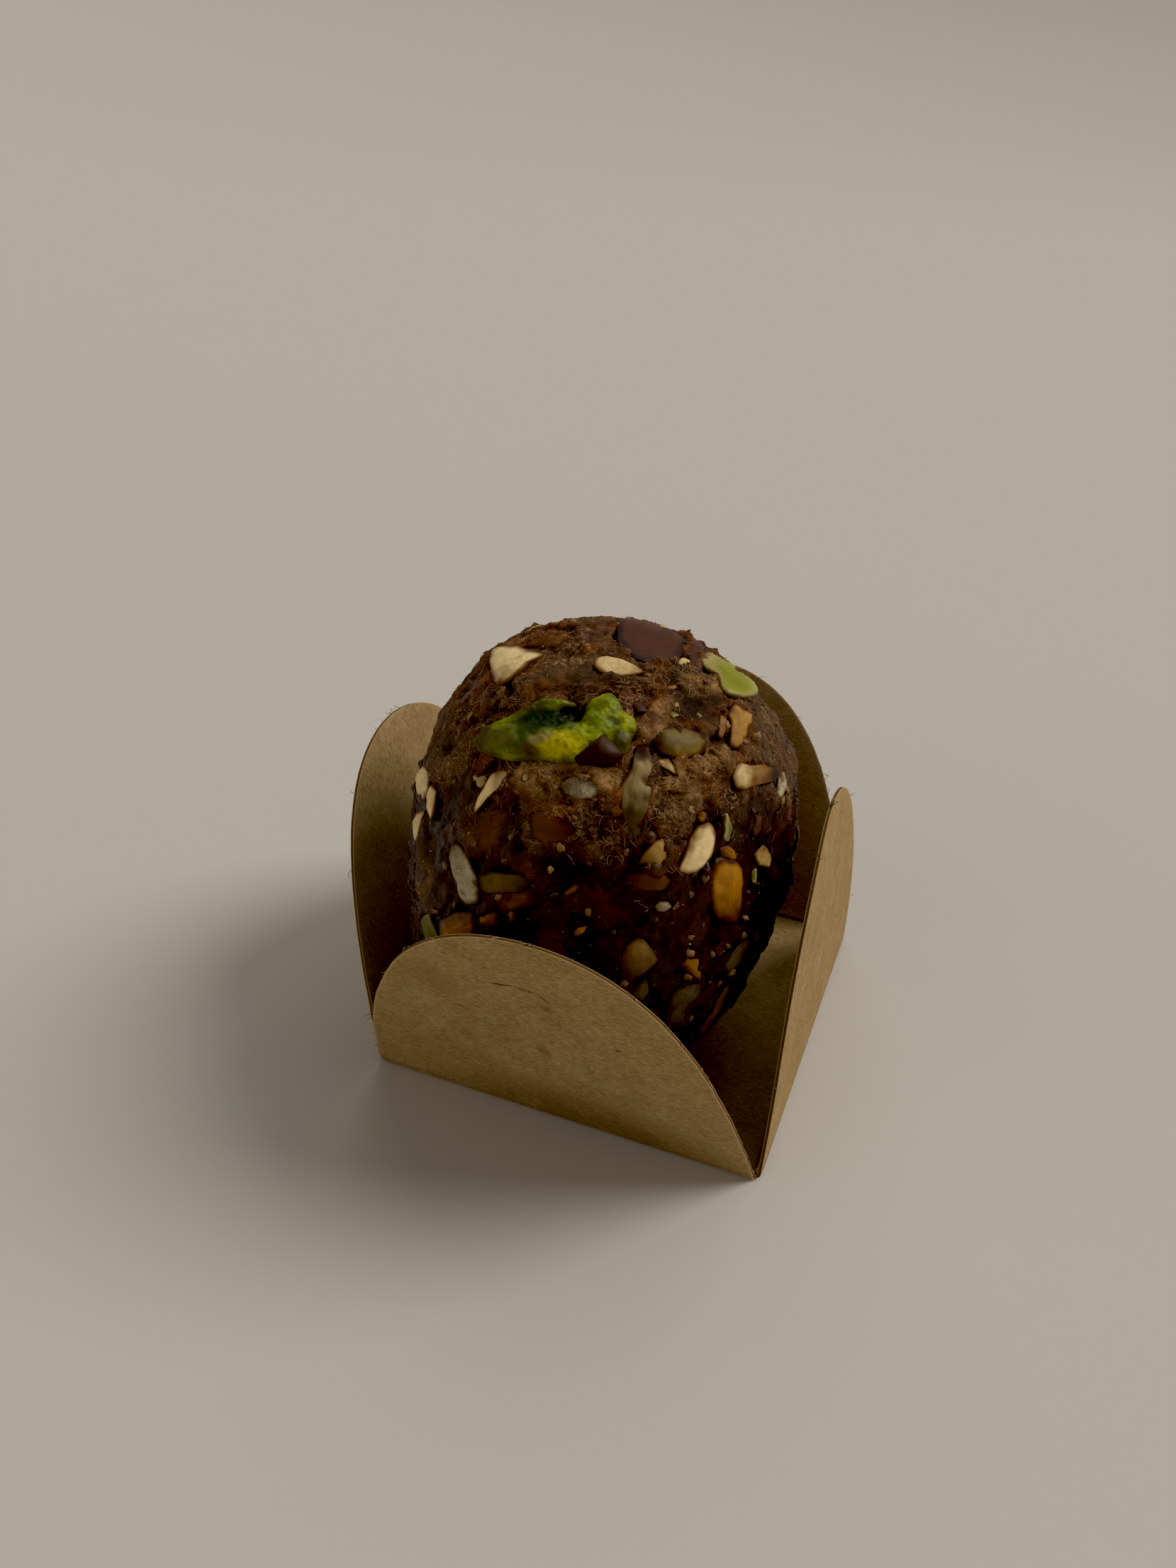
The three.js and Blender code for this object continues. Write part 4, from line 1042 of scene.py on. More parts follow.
def paste_ball(material):
    """The ball as six even grids of squares, with the kernel's pocket and the holes sunk in it."""
    steps = np.tan(np.linspace(-math.pi / 4, math.pi / 4, PASTE_CELLS + 1))
    a, b = np.meshgrid(steps, steps, indexing="ij")
    one = np.ones_like(a)
    sides = [(one, a, b), (-one, b, a), (b, one, a), (a, -one, b), (a, b, one), (b, a, -one)]
    corners = unit(np.concatenate([np.stack(side, axis=-1).reshape(-1, 3) for side in sides]))
    count = PASTE_CELLS + 1
    face = squares(np.arange(count * count).reshape(count, count))
    faces = np.concatenate([face + side * count * count for side in range(6)])
    _, first, merged = np.unique(np.round(corners, 6), axis=0, return_index=True, return_inverse=True)
    corners, faces = corners[first], merged.ravel()[faces]
    points, normals = ladoo_surface(corners)
    shows = seen_at(points)
    seen_side = (normals * unit(EYE - points)).sum(axis=-1) > 0
    ragged = uneven(points, LAP_SIZES[0], 12) + LAP_FINE * uneven(points, LAP_SIZES[1], 13)
    ragged = LAP_REACH * ragged
    to_edge = depth_inside(shows, KERNEL_OUTLINE) + POCKET_RAGGED * ragged - LAP_REACH
    sink = np.where(seen_side, np.sqrt(POCKET_SINK * np.clip(to_edge, 0, POCKET_SINK)), 0)
    rightward, upward = ((shows - WELT_MIDDLE) / WELT_GROWTH).T
    pushed = WELT_SHARE + WELT_UNEVEN * uneven(points, WELT_PATCH, 14) + upward - rightward
    welt = WELT * np.clip(pushed, 0, WELT_MOST) * np.exp(-(np.minimum(to_edge, 0) / WELT_REACH) ** 2)
    sink = sink - np.where(seen_side & (to_edge < 0), welt, 0)
    for outline, place in beds:
        if place is None:
            near = seen_side & (np.abs(shows - np.mean(outline, axis=0)).max(axis=-1) < BED_SEARCH)
            flat = shows[near]
        else:
            offset = points - place[0]
            near = np.linalg.norm(offset, axis=-1) < BED_SEARCH
            flat = np.stack([offset[near] @ place[1], offset[near] @ place[2]], axis=-1)
        inside = (depth_inside(flat, outline) + ragged[near] - LAP_MORE) / BED_SLOPE
        sink[near] = np.maximum(sink[near], BED_DEPTH * np.clip(inside, 0, 1))
    for right, up, width, depth in PITS:
        away = np.hypot(shows[:, 0] - right, shows[:, 1] - up)
        sink = sink + np.where(seen_side, depth * np.exp(-(away / width) ** 2), 0)
    wander = np.stack([uneven(points, PATCH_WANDER_SIZE, seed) for seed in (2, 3)], axis=-1)
    wander = PATCH_WANDER * wander
    values = {}
    for kind, spots in PATCHES.items():
        far_patches = np.clip(uneven(points, FAR_PATCH_SIZE, len(kind) * 7) - FAR_PATCH_START, 0, 1)
        values[kind] = FAR_PATCH * far_patches * ~seen_side
        for right, up, width, height in spots:
            away = (shows + wander - [right, up]) / [width, height]
            spot = np.clip(PATCH_CORE * np.exp(-(away ** 2).sum(axis=-1)) - PATCH_EDGE, 0, 1)
            values[kind] = np.maximum(values[kind], seen_side * spot)
    return mesh_piece("paste_ball", points - normals * sink[:, None], faces, material, values)


def tree_with_inputs(name, inputs):
    """A Geometry Nodes tree with named inputs, their sockets, its output and their identifiers."""
    tree = bpy.data.node_groups.new(name, "GeometryNodeTree")
    tree.is_modifier = True
    identifiers = {}
    for label, kind in {"Geometry": "Geometry", **inputs}.items():
        socket = tree.interface.new_socket(label, in_out="INPUT", socket_type="NodeSocket" + kind)
        identifiers[label] = socket.identifier
    tree.interface.new_socket("Geometry", in_out="OUTPUT", socket_type="NodeSocketGeometry")
    given = tree.nodes.new("NodeGroupInput").outputs
    return tree, given, tree.nodes.new("NodeGroupOutput").inputs, identifiers


def made_by(tree, identifiers, carrier, settings, name):
    """The plain mesh that a tree makes on a carrier, as a new object at the origin."""
    modifier = carrier.modifiers.new(tree.name, "NODES")
    modifier.node_group = tree
    for label, value in settings.items():
        modifier[identifiers[label]] = value
    graph = bpy.context.evaluated_depsgraph_get()
    mesh = bpy.data.meshes.new_from_object(carrier.evaluated_get(graph), depsgraph=graph)
    carrier.modifiers.remove(modifier)
    mesh.name = name
    piece = bpy.data.objects.new(name, mesh)
    bpy.context.scene.collection.objects.link(piece)
    return piece


# Relief of kneaded paste: soft lumps, crumbs that are coarser where it is dry, and a rim round each nut that
# laps over it in some places and leaves a crevice in others
tree, given, result, relief_inputs = tree_with_inputs("kneaded_relief", {
    "Lump Size": "Float", "Lump Height": "Float", "Crumb Size": "Float", "Crumb Height": "Float",
    "Chunk Size": "Float", "Chunk Height": "Float", "Grit Size": "Float", "Grit Height": "Float",
    "Lap Width": "Float", "Lap Height": "Float", "Moist Below": "Float", "Dry Above": "Float",
    "Foot Level": "Float", "Nuts": "Object", "Material": "Material",
})
relief_tree = tree
where = add_node(tree, "GeometryNodeInputPosition")
facing = add_node(tree, "GeometryNodeInputNormal")
height = add_node(tree, "ShaderNodeSeparateXYZ", {0: where}, out="Z")
dryness = add_node(tree, RANGE, {
    "Value": height, "From Min": given["Moist Below"], "From Max": given["Dry Above"],
    "To Min": 0.4, "To Max": 1.0,
})
nuts = add_node(tree, "GeometryNodeObjectInfo", {"Object": given["Nuts"]}, out="Geometry")
gap = add_node(tree, "GeometryNodeProximity", {0: nuts}, out="Distance")
near = add_node(tree, MATH, {0: gap, 1: given["Lap Width"]}, operation="DIVIDE")
near = add_node(tree, MATH, {0: near, 1: 2.0}, operation="POWER")
near = add_node(tree, MATH, {0: near, 1: -1.0}, operation="MULTIPLY")
near = add_node(tree, MATH, {0: near}, operation="EXPONENT")
lap = add_node(tree, NOISE, {"Vector": where, "Scale": 1 / (2.5 * MM), "Detail": 1.0})
lap = add_node(tree, RANGE, {
    "Value": lap, "From Min": 0.35, "From Max": 0.65, "To Min": -0.4, "To Max": 1.0,
})
relief = add_node(tree, MATH, {0: near, 1: given["Lap Height"]}, operation="MULTIPLY")
relief = add_node(tree, MATH, {0: relief, 1: lap}, operation="MULTIPLY")
bent = add_node(tree, NOISE, {"Vector": where, "Scale": 1 / (1.1 * MM), "Detail": 2.0}, out="Color")
bent = add_node(tree, "ShaderNodeVectorMath", {0: bent, "Scale": 1.6 * MM}, operation="SCALE")
bent = add_node(tree, "ShaderNodeVectorMath", {0: where, 1: bent}, operation="ADD")
scale = add_node(tree, MATH, {0: 1.0, 1: given["Chunk Size"]}, operation="DIVIDE")
chunk = add_node(tree, "ShaderNodeTexVoronoi", {"Vector": bent, "Scale": scale}, out="Color")
chunk = add_node(tree, "ShaderNodeSeparateXYZ", {0: chunk}, out="X")
stands = add_node(tree, MATH, {0: chunk, 1: 0.5}, operation="SUBTRACT")
relief = add_node(tree, MATH, {0: stands, 1: given["Chunk Height"], 2: relief}, operation="MULTIPLY_ADD")
for part, detail, warp in (("Lump", 2.0, 0.0), ("Crumb", 3.0, 0.8), ("Grit", 2.0, 0.0)):
    scale = add_node(tree, MATH, {0: 1.0, 1: given[part + " Size"]}, operation="DIVIDE")
    bumps = add_node(tree, NOISE, {
        "Vector": where, "Scale": scale, "Detail": detail, "Roughness": 0.6, "Distortion": warp,
    })
    bumps = add_node(tree, MATH, {0: bumps, 1: 0.5}, operation="SUBTRACT")
    bumps = add_node(tree, MATH, {0: bumps, 1: given[part + " Height"]}, operation="MULTIPLY")
    if part != "Lump":
        bumps = add_node(tree, MATH, {0: bumps, 1: dryness}, operation="MULTIPLY")
    relief = add_node(tree, MATH, {0: relief, 1: bumps}, operation="ADD")
moved = add_node(tree, "ShaderNodeVectorMath", {0: facing, "Scale": relief}, operation="SCALE")
moved = add_node(tree, "ShaderNodeVectorMath", {0: where, 1: moved}, operation="ADD")
split = add_node(tree, "ShaderNodeSeparateXYZ", {0: moved}).node.outputs
footed = add_node(tree, MATH, {0: split["Z"], 1: given["Foot Level"]}, operation="MAXIMUM")
moved = add_node(tree, "ShaderNodeCombineXYZ", {0: split["X"], 1: split["Y"], 2: footed})
relief_mm = add_node(tree, MATH, {0: relief, 1: MM}, operation="DIVIDE")
shaped = given["Geometry"]
for label, value in (("relief", relief_mm), ("chunk", chunk)):
    shaped = add_node(tree, "GeometryNodeStoreNamedAttribute", {
        "Geometry": shaped, "Name": label, "Value": value,
    }, data_type="FLOAT", domain="POINT")
shaped = add_node(tree, "GeometryNodeSetPosition", {"Geometry": shaped, "Position": moved})
shaped = add_node(tree, "GeometryNodeRealizeInstances", {"Geometry": shaped})
shaped = add_node(tree, "GeometryNodeSetMaterial", {"Geometry": shaped, "Material": given["Material"]})
tree.links.new(shaped, result["Geometry"])

# Dry paste is dusty brown felt of fine curled fibres, and moist paste is reddish, glossy and black brown, its
# darkness partly painted shade on the lower half. Bran, dust, char and syrup colour it in patches, some dust
# patches partly painted sheen and some char patches partly painted shade, and sunk places are painted shade.
MOIST_AND_SHADED_BELOW = 29.5
DRY_AND_LIT_ABOVE = 36.0
PATCH_SHIFT = 9.0  # how much patches of wet and dry shift that level
FELT_BEND = (2.6, 2.6, 2.6)
FELT_TURNS = [(0.3, 0.5, 0.2), (1.2, -0.4, 0.9), (-0.7, 1.1, -1.3)]
paste, tree, shader = new_material("kneaded_date_and_millet_paste")
metres = add_node(tree, "ShaderNodeTexCoord", out="Object")
mm = add_node(tree, "ShaderNodeVectorMath", {0: metres, "Scale": 1 / MM}, operation="SCALE")
level = add_node(tree, "ShaderNodeSeparateXYZ", {0: mm}, out="Z")
patch = add_node(tree, NOISE, {"Vector": mm, "Scale": 1 / 4.0, "Detail": 3.0})
level = add_node(tree, MATH, {0: patch, 1: PATCH_SHIFT, 2: level}, operation="MULTIPLY_ADD")
# Below this level the paste is painted dark both as moist paste and as shade on the lower half, and above it
# lighter where dry and lit
dry_and_lit = add_node(tree, RANGE, {
    "Value": level, "From Min": MOIST_AND_SHADED_BELOW + PATCH_SHIFT / 2, "From Max": DRY_AND_LIT_ABOVE + PATCH_SHIFT / 2,
})
dust = add_node(tree, STORED, out="Fac", attribute_name="dust")
bran = add_node(tree, STORED, out="Fac", attribute_name="bran")
char = add_node(tree, STORED, out="Fac", attribute_name="char")
syrup = add_node(tree, STORED, out="Fac", attribute_name="syrup")
for part in (dust, bran):
    dry_and_lit = add_node(tree, MATH, {0: dry_and_lit, 1: part}, operation="MAXIMUM")
wet = add_node(tree, MATH, {0: syrup, 1: -0.85, 2: 1.0}, operation="MULTIPLY_ADD")
dry_and_lit = add_node(tree, MATH, {0: dry_and_lit, 1: wet}, operation="MULTIPLY")
# Felt: streaks of fibre in three directions, bent by a coarser unevenness
swirl = add_node(tree, NOISE, {"Vector": mm, "Scale": 1 / 1.6, "Detail": 2.0}, out="Color")
swirl = add_node(tree, "ShaderNodeVectorMath", {0: swirl, 1: (0.5, 0.5, 0.5)}, operation="SUBTRACT")
swirl = add_node(tree, "ShaderNodeVectorMath", {0: swirl, 1: FELT_BEND, 2: mm}, operation="MULTIPLY_ADD")
felt = None
for turn in FELT_TURNS:
    laid = add_node(tree, "ShaderNodeMapping", {"Vector": swirl, "Rotation": turn, "Scale": (0.8, 4.5, 4.5)})
    streak = add_node(tree, NOISE, {"Vector": laid, "Scale": 1.0, "Detail": 2.0})
    felt = streak if felt is None else add_node(tree, MATH, {0: felt, 1: streak}, operation="MAXIMUM")
hair = add_node(tree, RANGE, {"Value": felt, "From Min": 0.58, "From Max": 0.7})
hue = add_node(tree, NOISE, {"Vector": mm, "Scale": 1 / 3.2, "Detail": 3.0, "Distortion": 0.6})
reddish = add_node(tree, RANGE, {"Value": hue, "From Min": 0.42, "From Max": 0.58})
kneaded = add_node(tree, NOISE, {"Vector": mm, "Scale": 1 / 1.5, "Detail": 6.0, "Roughness": 0.65})
chunk = add_node(tree, STORED, out="Fac", attribute_name="chunk")
kneaded = add_node(tree, MATH, {0: chunk, 1: 0.2, 2: kneaded}, operation="MULTIPLY_ADD")
kneaded = add_node(tree, RANGE, {"Value": kneaded, "From Min": 0.48, "From Max": 0.74})
dark_dust = add_node(tree, MIX, {0: reddish, 6: linear("#281b12"), 7: linear("#30160b")}, **RGB_MIX)
pale_dust = add_node(tree, MIX, {0: reddish, 6: linear("#664830"), 7: linear("#70421e")}, **RGB_MIX)
dusty = add_node(tree, MIX, {0: kneaded, 6: dark_dust, 7: pale_dust}, **RGB_MIX)
# Moist paste colours, darkened further as painted shade
moist_and_shaded = add_node(tree, MIX, {0: kneaded, 6: linear("#1a0804"), 7: linear("#36190c")}, **RGB_MIX)
fruit = add_node(tree, RANGE, {"Value": chunk, "From Min": 0.76, "From Max": 0.84, "To Max": 0.6})
moist_and_shaded = add_node(tree, MIX, {0: fruit, 6: moist_and_shaded, 7: linear("#42210f")}, **RGB_MIX)
bran_flour = add_node(tree, MIX, {0: kneaded, 6: linear("#523618"), 7: linear("#aa8452")}, **RGB_MIX)
# Dust patches are partly painted grey sheen at the ball's edges
for part, tint, share in ((bran, bran_flour, 0.9), (dust, linear("#5c4834"), 0.7)):
    part = add_node(tree, MATH, {0: part, 1: share}, operation="MULTIPLY")
    dusty = add_node(tree, MIX, {0: part, 6: dusty, 7: tint}, **RGB_MIX)
tufts = add_node(tree, RANGE, {"Value": patch, "From Min": 0.35, "From Max": 0.6, "To Max": 0.9})
hair_share = add_node(tree, MATH, {0: hair, 1: tufts}, operation="MULTIPLY")
dusty = add_node(tree, MIX, {0: hair_share, 6: dusty, 7: linear("#a8825a")}, **RGB_MIX)
moist_and_shaded = add_node(tree, MIX, {0: syrup, 6: moist_and_shaded, 7: linear("#663c1e")}, **RGB_MIX)
colour = add_node(tree, MIX, {0: dry_and_lit, 6: moist_and_shaded, 7: dusty}, **RGB_MIX)
# Places sunk in the relief are painted darker as shade
relief = add_node(tree, STORED, out="Fac", attribute_name="relief")
recess_shade = add_node(tree, RANGE, {
    "Value": relief, "From Min": -0.35, "From Max": 0.0, "To Min": 0.6, "To Max": 0.0,
})
# Char patches darken the paste, and in the fold and beside a pit they are painted shade
for part, tint in ((recess_shade, "#160604"), (char, "#2a1e16")):
    colour = add_node(tree, MIX, {0: part, 6: colour, 7: linear(tint)}, **RGB_MIX)
gloss = add_node(tree, RANGE, {"Value": dry_and_lit, "To Min": 0.2, "To Max": 0.85})
grit = add_node(tree, NOISE, {"Vector": mm, "Scale": 1 / 0.4, "Detail": 3.0})
rough = add_node(tree, MIX, {0: dry_and_lit, 2: grit, 3: felt}, data_type="FLOAT")
gritty = add_node(tree, BUMP, {"Height": rough, "Strength": 0.8, "Distance": 0.15 * MM})
tree.links.new(colour, shader["Base Color"])
tree.links.new(gloss, shader["Roughness"])
tree.links.new(gritty, shader["Normal"])
shader["Specular IOR Level"].default_value = 0.17
shader["Sheen Weight"].default_value = 0.04
shader["Sheen Roughness"].default_value = 0.5
shader["Sheen Tint"].default_value = linear("#b08a5c")

set_pieces = [
    pale_nuts, roasted_nuts, walnuts, pistachio_chips, dates, amber_dates, raisin, coconut, husk, millet,
    kernel,
]
joined = bmesh.new()
for piece in set_pieces:
    joined.from_mesh(piece.data)
all_nuts = bpy.data.objects.new("all_nuts", bpy.data.meshes.new("all_nuts"))
joined.to_mesh(all_nuts.data)
joined.free()
bpy.context.scene.collection.objects.link(all_nuts)

smooth_ball = paste_ball(paste)
ball = made_by(relief_tree, relief_inputs, smooth_ball, {
    "Lump Size": 3.4 * MM, "Lump Height": 1.2 * MM, "Crumb Size": 1.2 * MM, "Crumb Height": 1.0 * MM,
    "Chunk Size": 2.1 * MM, "Chunk Height": 0.35 * MM, "Grit Size": 0.55 * MM, "Grit Height": 0.3 * MM,
    "Lap Width": 0.5 * MM, "Lap Height": 0.35 * MM, "Moist Below": MOIST_AND_SHADED_BELOW * MM,
    "Dry Above": DRY_AND_LIT_ABOVE * MM, "Foot Level": FOOT_LEVEL * MM, "Nuts": all_nuts, "Material": paste,
}, "paste_ball_dressed")
bpy.data.objects.remove(smooth_ball)
dress(ball, "ladoo")


# Crumbs, chips and fibres
# Crumbs of ground nut, flat chips of bran and curled fibres of date and husk. They cling to the skin of the
# paste, and the fibres only where it is dry.

tree, given, result, strewn_inputs = tree_with_inputs("strewn_bits", {
    "Bits": "Collection", "Spacing": "Float", "Share": "Float", "None At": "Float", "All At": "Float",
    "Smallest": "Float", "Largest": "Float", "Tilt": "Float", "Lift": "Float", "Seed": "Int",
    "Sparsest": "Float", "Nuts": "Object", "Material": "Material",
})
strewn_tree = tree
where = add_node(tree, "GeometryNodeInputPosition")
facing = add_node(tree, "GeometryNodeInputNormal")
height = add_node(tree, "ShaderNodeSeparateXYZ", {0: where}, out="Z")
share = add_node(tree, RANGE, {"Value": height, "From Min": given["None At"], "From Max": given["All At"]})
share = add_node(tree, MATH, {0: share, 1: given["Share"]}, operation="MULTIPLY")
tufts = add_node(tree, NOISE, {"Vector": where, "Scale": 1 / (3.5 * MM), "Detail": 2.0})
tufts = add_node(tree, RANGE, {
    "Value": tufts, "From Min": 0.42, "From Max": 0.68, "To Min": given["Sparsest"], "To Max": 0.5,
})
husky = add_node(tree, "GeometryNodeInputNamedAttribute", {"Name": "bran"}, data_type="FLOAT")
tufts = add_node(tree, MATH, {0: tufts, 1: husky}, operation="MAXIMUM")
share = add_node(tree, MATH, {0: share, 1: tufts}, operation="MULTIPLY")
nuts = add_node(tree, "GeometryNodeObjectInfo", {"Object": given["Nuts"]}, out="Geometry")
covered = add_node(tree, "GeometryNodeRaycast", {
    "Target Geometry": nuts, "Source Position": where, "Ray Direction": facing, "Ray Length": 3 * MM,
}, out="Is Hit")
bare = add_node(tree, "FunctionNodeBooleanMath", {0: covered}, operation="NOT")
dots = add_node(tree, "GeometryNodeDistributePointsOnFaces", {
    "Mesh": given["Geometry"], "Selection": bare, "Distance Min": given["Spacing"], "Density Max": 1.0e8,
    "Density Factor": share, "Seed": given["Seed"],
}, distribute_method="POISSON").node.outputs
rise = add_node(tree, "ShaderNodeVectorMath", {0: dots["Normal"], "Scale": given["Lift"]}, operation="SCALE")
lifted = add_node(tree, "GeometryNodeSetPosition", {"Geometry": dots["Points"], "Offset": rise})
lean = given["Tilt"]
lean_back = add_node(tree, MATH, {0: lean, 1: -1.0}, operation="MULTIPLY")
least = add_node(tree, "ShaderNodeCombineXYZ", {0: lean_back, 1: lean_back, 2: -math.pi})
most = add_node(tree, "ShaderNodeCombineXYZ", {0: lean, 1: lean, 2: math.pi})
spin = add_node(tree, "FunctionNodeRandomValue", {
    "Min": least, "Max": most, "Seed": given["Seed"],
}, data_type="FLOAT_VECTOR")
turned = add_node(tree, "FunctionNodeRotateRotation", {
    "Rotation": dots["Rotation"], "Rotate By": spin,
}, rotation_space="LOCAL")
size = add_node(tree, "FunctionNodeRandomValue", {
    2: given["Smallest"], 3: given["Largest"], "Seed": given["Seed"],
}, out=1)
bits = add_node(tree, "GeometryNodeCollectionInfo", {
    "Collection": given["Bits"], "Separate Children": True, "Reset Children": True,
})
placed = add_node(tree, "GeometryNodeInstanceOnPoints", {
    "Points": lifted, "Instance": bits, "Pick Instance": True, "Rotation": turned, "Scale": size,
})
shade = add_node(tree, "FunctionNodeRandomValue", {"Seed": given["Seed"]}, out=1)
placed = add_node(tree, "GeometryNodeStoreNamedAttribute", {
    "Geometry": placed, "Name": "tone", "Value": shade,
}, data_type="FLOAT", domain="INSTANCE")
placed = add_node(tree, "GeometryNodeRealizeInstances", {"Geometry": placed})
placed = add_node(tree, "GeometryNodeSetMaterial", {"Geometry": placed, "Material": given["Material"]})
tree.links.new(placed, result["Geometry"])


def strewn(name, shapes, material, zone, spacing, share, sparsest, sizes, tilt, lift, seed):
    """Bits of a few shapes strewn over the ball by the tree, as one mesh.

    None lie below the zone and all lie above it, and sparsest is the share between their tufts.
    """
    pattern = bpy.data.collections.new(name + "_shapes")
    bpy.context.scene.collection.children.link(pattern)
    for order, (points, faces) in enumerate(shapes):
        shape = mesh_piece(f"{name}_{order}", points, faces, material)
        bpy.context.scene.collection.objects.unlink(shape)
        pattern.objects.link(shape)
    group = made_by(strewn_tree, strewn_inputs, ball, {
        "Bits": pattern, "Spacing": spacing * MM, "Share": share, "Sparsest": sparsest,
        "None At": zone[0] * MM, "All At": zone[1] * MM, "Smallest": sizes[0], "Largest": sizes[1],
        "Tilt": tilt, "Lift": lift * MM, "Seed": seed, "Nuts": all_nuts, "Material": material,
    }, name)
    for shape in list(pattern.objects):
        bpy.data.objects.remove(shape)
    bpy.data.collections.remove(pattern)
    dress(group, "ladoo")


FIBRE_RINGS = 7
FIBRE_SIDES = 3
FIBRE_CURL = 2.2  # most that a fibre turns from end to end, in radians, and how unevenly it may turn
FIBRE_CURL_CHANGE = 3.5
FIBRE_ARCH = 0.1
FIBRE_SLOPE = 0.2
GRAIN_REACH = 0.9  # mean reach of a crumb that would be 1 from its middle, and its width for its length
GRAIN_SLIMNESS = 0.75


def fibre_shape(seed, length=1.3, width=0.055):
    """A thin curled fibre with three sides and pointed ends, lying along the skin."""
    rng = np.random.default_rng(seed)
    along = np.linspace(-0.5, 0.5, FIBRE_RINGS)
    heading = rng.uniform(-FIBRE_CURL, FIBRE_CURL) * along
    heading = heading + rng.uniform(-FIBRE_CURL_CHANGE, FIBRE_CURL_CHANGE) * along ** 2
    step = length / (FIBRE_RINGS - 1)
    arch = FIBRE_ARCH * np.cos(along * math.pi) * rng.uniform(0.1, 1.0)
    arch = arch + along * rng.uniform(-FIBRE_SLOPE, FIBRE_SLOPE)
    middle = np.stack([np.cumsum(np.cos(heading)) * step, np.cumsum(np.sin(heading)) * step, arch], axis=-1)
    middle -= middle.mean(axis=0) * [1, 1, 0]
    side = np.stack([-np.sin(heading), np.cos(heading), np.zeros(FIBRE_RINGS)], axis=-1)
    angles = 2 * math.pi * np.arange(FIBRE_SIDES) / FIBRE_SIDES
    round_it = np.cos(angles)[:, None] * side[1:-1, None] + np.sin(angles)[:, None] * np.array([0, 0, 1])
    rings = middle[1:-1, None] + width / 2 * round_it
    points = np.concatenate([middle[:1], rings.reshape(-1, 3), middle[-1:]])
    numbers = 1 + np.arange((FIBRE_RINGS - 2) * FIBRE_SIDES).reshape(-1, FIBRE_SIDES)
    after = np.roll(numbers, -1, axis=1)
    tip = np.full(FIBRE_SIDES, len(points) - 1)
    faces = np.concatenate([
        np.stack([tip * 0, numbers[0], after[0]], axis=-1),
        np.stack([numbers[:-1], numbers[1:], after[1:]], axis=-1).reshape(-1, 3),
        np.stack([numbers[:-1], after[1:], after[:-1]], axis=-1).reshape(-1, 3),
        np.stack([numbers[-1], tip, after[-1]], axis=-1),
    ])
    return points, faces


def crumb_shape(seed, subdivisions=2, flatness=0.6, chop=0.2):
    """A small uneven grain about 1 across."""
    corners, faces = unit_ball(subdivisions)
    rng = np.random.default_rng(seed)
    reach = rng.uniform(GRAIN_REACH - chop, GRAIN_REACH + chop, (len(corners), 1))
    return corners * reach * [1.0, GRAIN_SLIMNESS, flatness] / 2, faces


def bit_material(name, dark, middle, pale, roughness):
    """Small bits whose tone differs from one to the next over three colours, with a faint grain."""
    material, tree, shader = new_material(name)
    tone = add_node(tree, STORED, out="Fac", attribute_name="tone")
    metres = add_node(tree, "ShaderNodeTexCoord", out="Object")
    grain = add_node(tree, NOISE, {"Vector": metres, "Scale": 1 / (0.4 * MM), "Detail": 2.0})
    mixed = add_node(tree, MATH, {0: grain, 1: 0.4, 2: tone}, operation="MULTIPLY_ADD")
    colour = linear(dark)
    for tint, start, end in ((middle, 0.2, 0.75), (pale, 0.75, 1.25)):
        share = add_node(tree, RANGE, {"Value": mixed, "From Min": start, "From Max": end})
        colour = add_node(tree, MIX, {0: share, 6: colour, 7: linear(tint)}, **RGB_MIX)
    tree.links.new(colour, shader["Base Color"])
    shader["Roughness"].default_value = roughness
    return material


# Date and husk fibre is dull light brown and much finer than thread.
husk_fibre = bit_material("date_and_husk_fibre", "#4e341a", "#846038", "#ac8c60", 0.8)
strewn(
    "fibres", [fibre_shape(seed) for seed in range(16)], husk_fibre, zone=(26, 34),
    spacing=0.28, share=0.8, sparsest=0.05, sizes=(0.5, 1.0), tilt=0.1, lift=-0.02, seed=4)
# Chips of nut, bran and date skin lie flat and run from dark brown to tan.
mixed_chip = bit_material("chips_of_nut_and_bran", "#26100a", "#57341a", "#8d6a3a", 0.5)
strewn(
    "chips", [crumb_shape(seed, 2, 0.3, 0.4) for seed in range(8)], mixed_chip, zone=(2, 12),
    spacing=1.4, share=0.8, sparsest=0.25, sizes=(0.3, 1.0), tilt=0.25, lift=-0.04, seed=21)
# Ground nut and millet meal is pale and dull, and it glints where it is wet.
meal = bit_material("ground_nut_meal", "#4a2c14", "#7a5a38", "#a08864", 0.4)
strewn(
    "crumbs", [crumb_shape(seed) for seed in range(5)], meal, zone=(2, 10),
    spacing=0.8, share=0.6, sparsest=0.2, sizes=(0.08, 0.28), tilt=0.6, lift=0.0, seed=9)
bpy.data.objects.remove(all_nuts)


# The loose card fibres
# Short paper fibres of the card itself, which the cutting rule left standing along the edges of the petals.
# They are still held by their inner ends.

LOOSE_COUNT = 110
LOOSE_LENGTH = (0.4, 1.3)
LOOSE_WIDTH = 0.07  # twice a real one's, which would be too fine to show
LOOSE_SPREAD = 1.1  # how far from straight out they point, in radians
LOOSE_ABOVE = 2.0  # none stand lower than this
LOOSE_FROM = PETAL_REACH / 3  # height over the base's middle that they point away from
LOOSE_SEED = 17


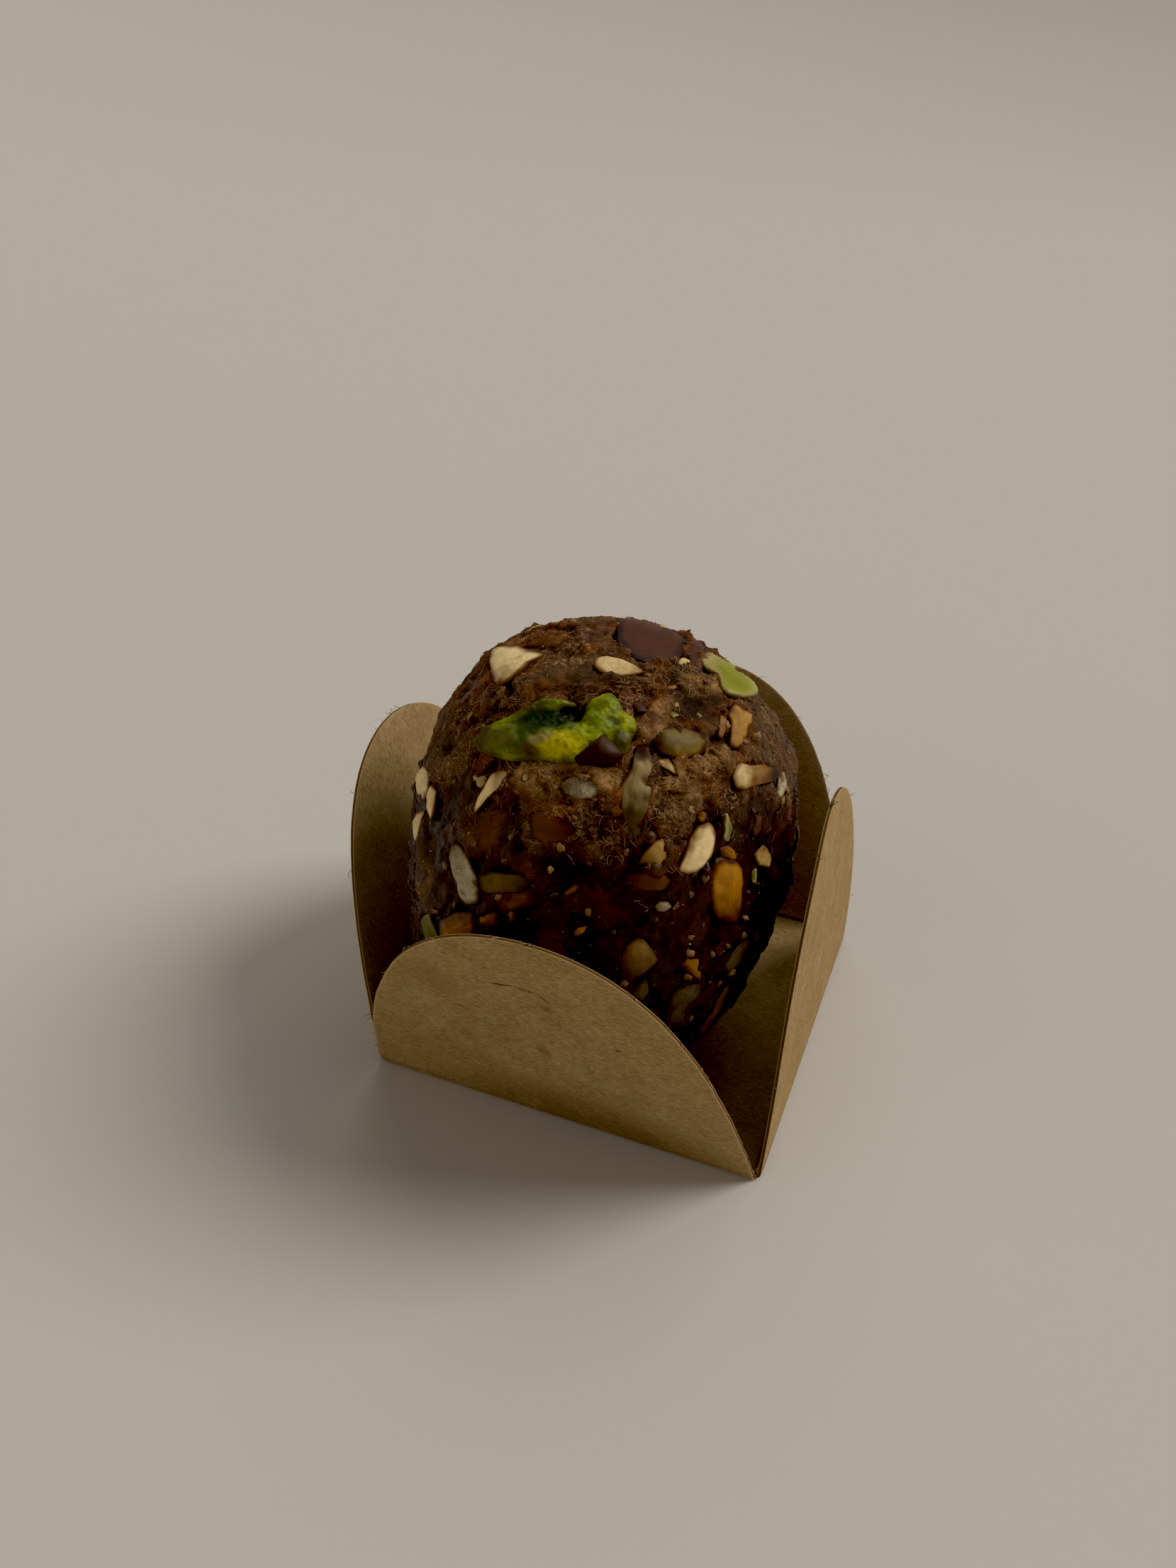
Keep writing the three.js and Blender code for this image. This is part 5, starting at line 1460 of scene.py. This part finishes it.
def loose_fibres(material):
    """One mesh of fibres that stand out of the cut edges."""
    rng = np.random.default_rng(LOOSE_SEED)
    corners = np.array([corner.co for corner in case.data.vertices]) / MM
    cut = np.array([spot.value for spot in case.data.attributes["cut"].data]) > 0
    rim = corners[cut]
    rim = rim[:len(rim) // 2]
    points, faces, tones = [], [], []
    count = 0
    high = np.flatnonzero(rim[1:-1, 2] > LOOSE_ABOVE) + 1
    for spot in rng.choice(high, LOOSE_COUNT, replace=False):
        tangent = unit(rim[spot + 1] - rim[spot - 1])
        away = rim[spot] - [0, 0, LOOSE_FROM]
        away = unit(away - tangent * (away @ tangent))
        lean = rng.uniform(-LOOSE_SPREAD, LOOSE_SPREAD)
        along = math.cos(lean) * away + math.sin(lean) * tangent
        side = unit(np.cross(along, rng.normal(size=3)))
        length = rng.uniform(*LOOSE_LENGTH)
        shape, triangles = fibre_shape(spot, length, LOOSE_WIDTH)
        axes = np.stack([along, side, np.cross(along, side)])
        # A sixth of the fibre stays in the card
        points.append(rim[spot] + along * length / 3 + shape @ axes)
        faces.append(triangles + count)
        tones.append(np.full(len(shape), rng.uniform()))
        count += len(shape)
    values = {"tone": np.concatenate(tones)}
    return mesh_piece("loose_fibres", np.concatenate(points), np.concatenate(faces), material, values)


# Torn paper fibre is pale tan and dull.
paper_fibre = bit_material("torn_paper_fibre", "#6a5030", "#a08458", "#d0b88c", 0.85)
loose = loose_fibres(paper_fibre)
dress(loose, "paper_case")


# Floor and lights
# A plain pale floor that curves up far away. Soft light comes from behind on the right and from above, and a
# little warm light from the front left.

FLOOR_PROFILE = [(0, 0), (300, 0), (700, 0), (1000, 25), (1300, 110), (1600, 270), (1900, 520), (2200, 900)]
FLOOR_SIDES = 96
FLOOR_GAP = 0.02
turns = 2 * math.pi * np.arange(FLOOR_SIDES) / FLOOR_SIDES
floor_points = [[0, 0, -FLOOR_GAP]]
floor_faces = []
for ring, (radius, height) in enumerate(FLOOR_PROFILE[1:]):
    first = len(floor_points)
    floor_points += [[radius * math.cos(turn), radius * math.sin(turn), height - FLOOR_GAP] for turn in turns]
    for side in range(FLOOR_SIDES):
        here, after = first + side, first + (side + 1) % FLOOR_SIDES
        inner = [0] if ring == 0 else [after - FLOOR_SIDES, here - FLOOR_SIDES]
        floor_faces.append([here, after, *inner])
floor_material, _, shader = new_material("pale_floor")
shader["Base Color"].default_value = linear("#c9c6c0")
shader["Roughness"].default_value = 0.95
floor_mesh = bpy.data.meshes.new("floor")
floor_mesh.from_pydata([[value * MM for value in point] for point in floor_points], [], floor_faces)
floor_mesh.polygons.foreach_set("use_smooth", np.ones(len(floor_faces), dtype=bool))
floor_mesh.materials.append(floor_material)
floor = bpy.data.objects.new("floor", floor_mesh)
bpy.context.scene.collection.objects.link(floor)


def soft_light(name, toward, spread, strength, colour):
    """Even light from one side of the sky, as wide as its spread in degrees."""
    light = bpy.data.lights.new(name, "SUN")
    light.angle = math.radians(spread)
    light.energy = strength
    light.color = linear(colour)[:3]
    lamp = bpy.data.objects.new(name, light)
    lamp.rotation_euler = Vector(toward).to_track_quat("Z", "Y").to_euler()
    bpy.context.scene.collection.objects.link(lamp)


soft_light("window", (0.6, 0.38, 0.7), 33, 1.92, "#fdf7ef")
soft_light("overhead", (-0.1, 0.62, 0.78), 50, 0.5, "#fff8f0")
soft_light("room", (-0.65, -0.65, 0.4), 70, 0.55, "#ffecd6")
world = bpy.data.worlds.new("studio")
world.use_nodes = True
world.node_tree.nodes["Background"].inputs["Color"].default_value = linear("#f2eee6")
world.node_tree.nodes["Background"].inputs["Strength"].default_value = 0.12
bpy.context.scene.world = world
# Deep shade falls to black a little sooner than light alone would make it, as in a camera
view = bpy.context.scene.view_settings
view.view_transform = "Standard"
view.use_curve_mapping = True
view.curve_mapping.black_level = (0.009, 0.010, 0.010)
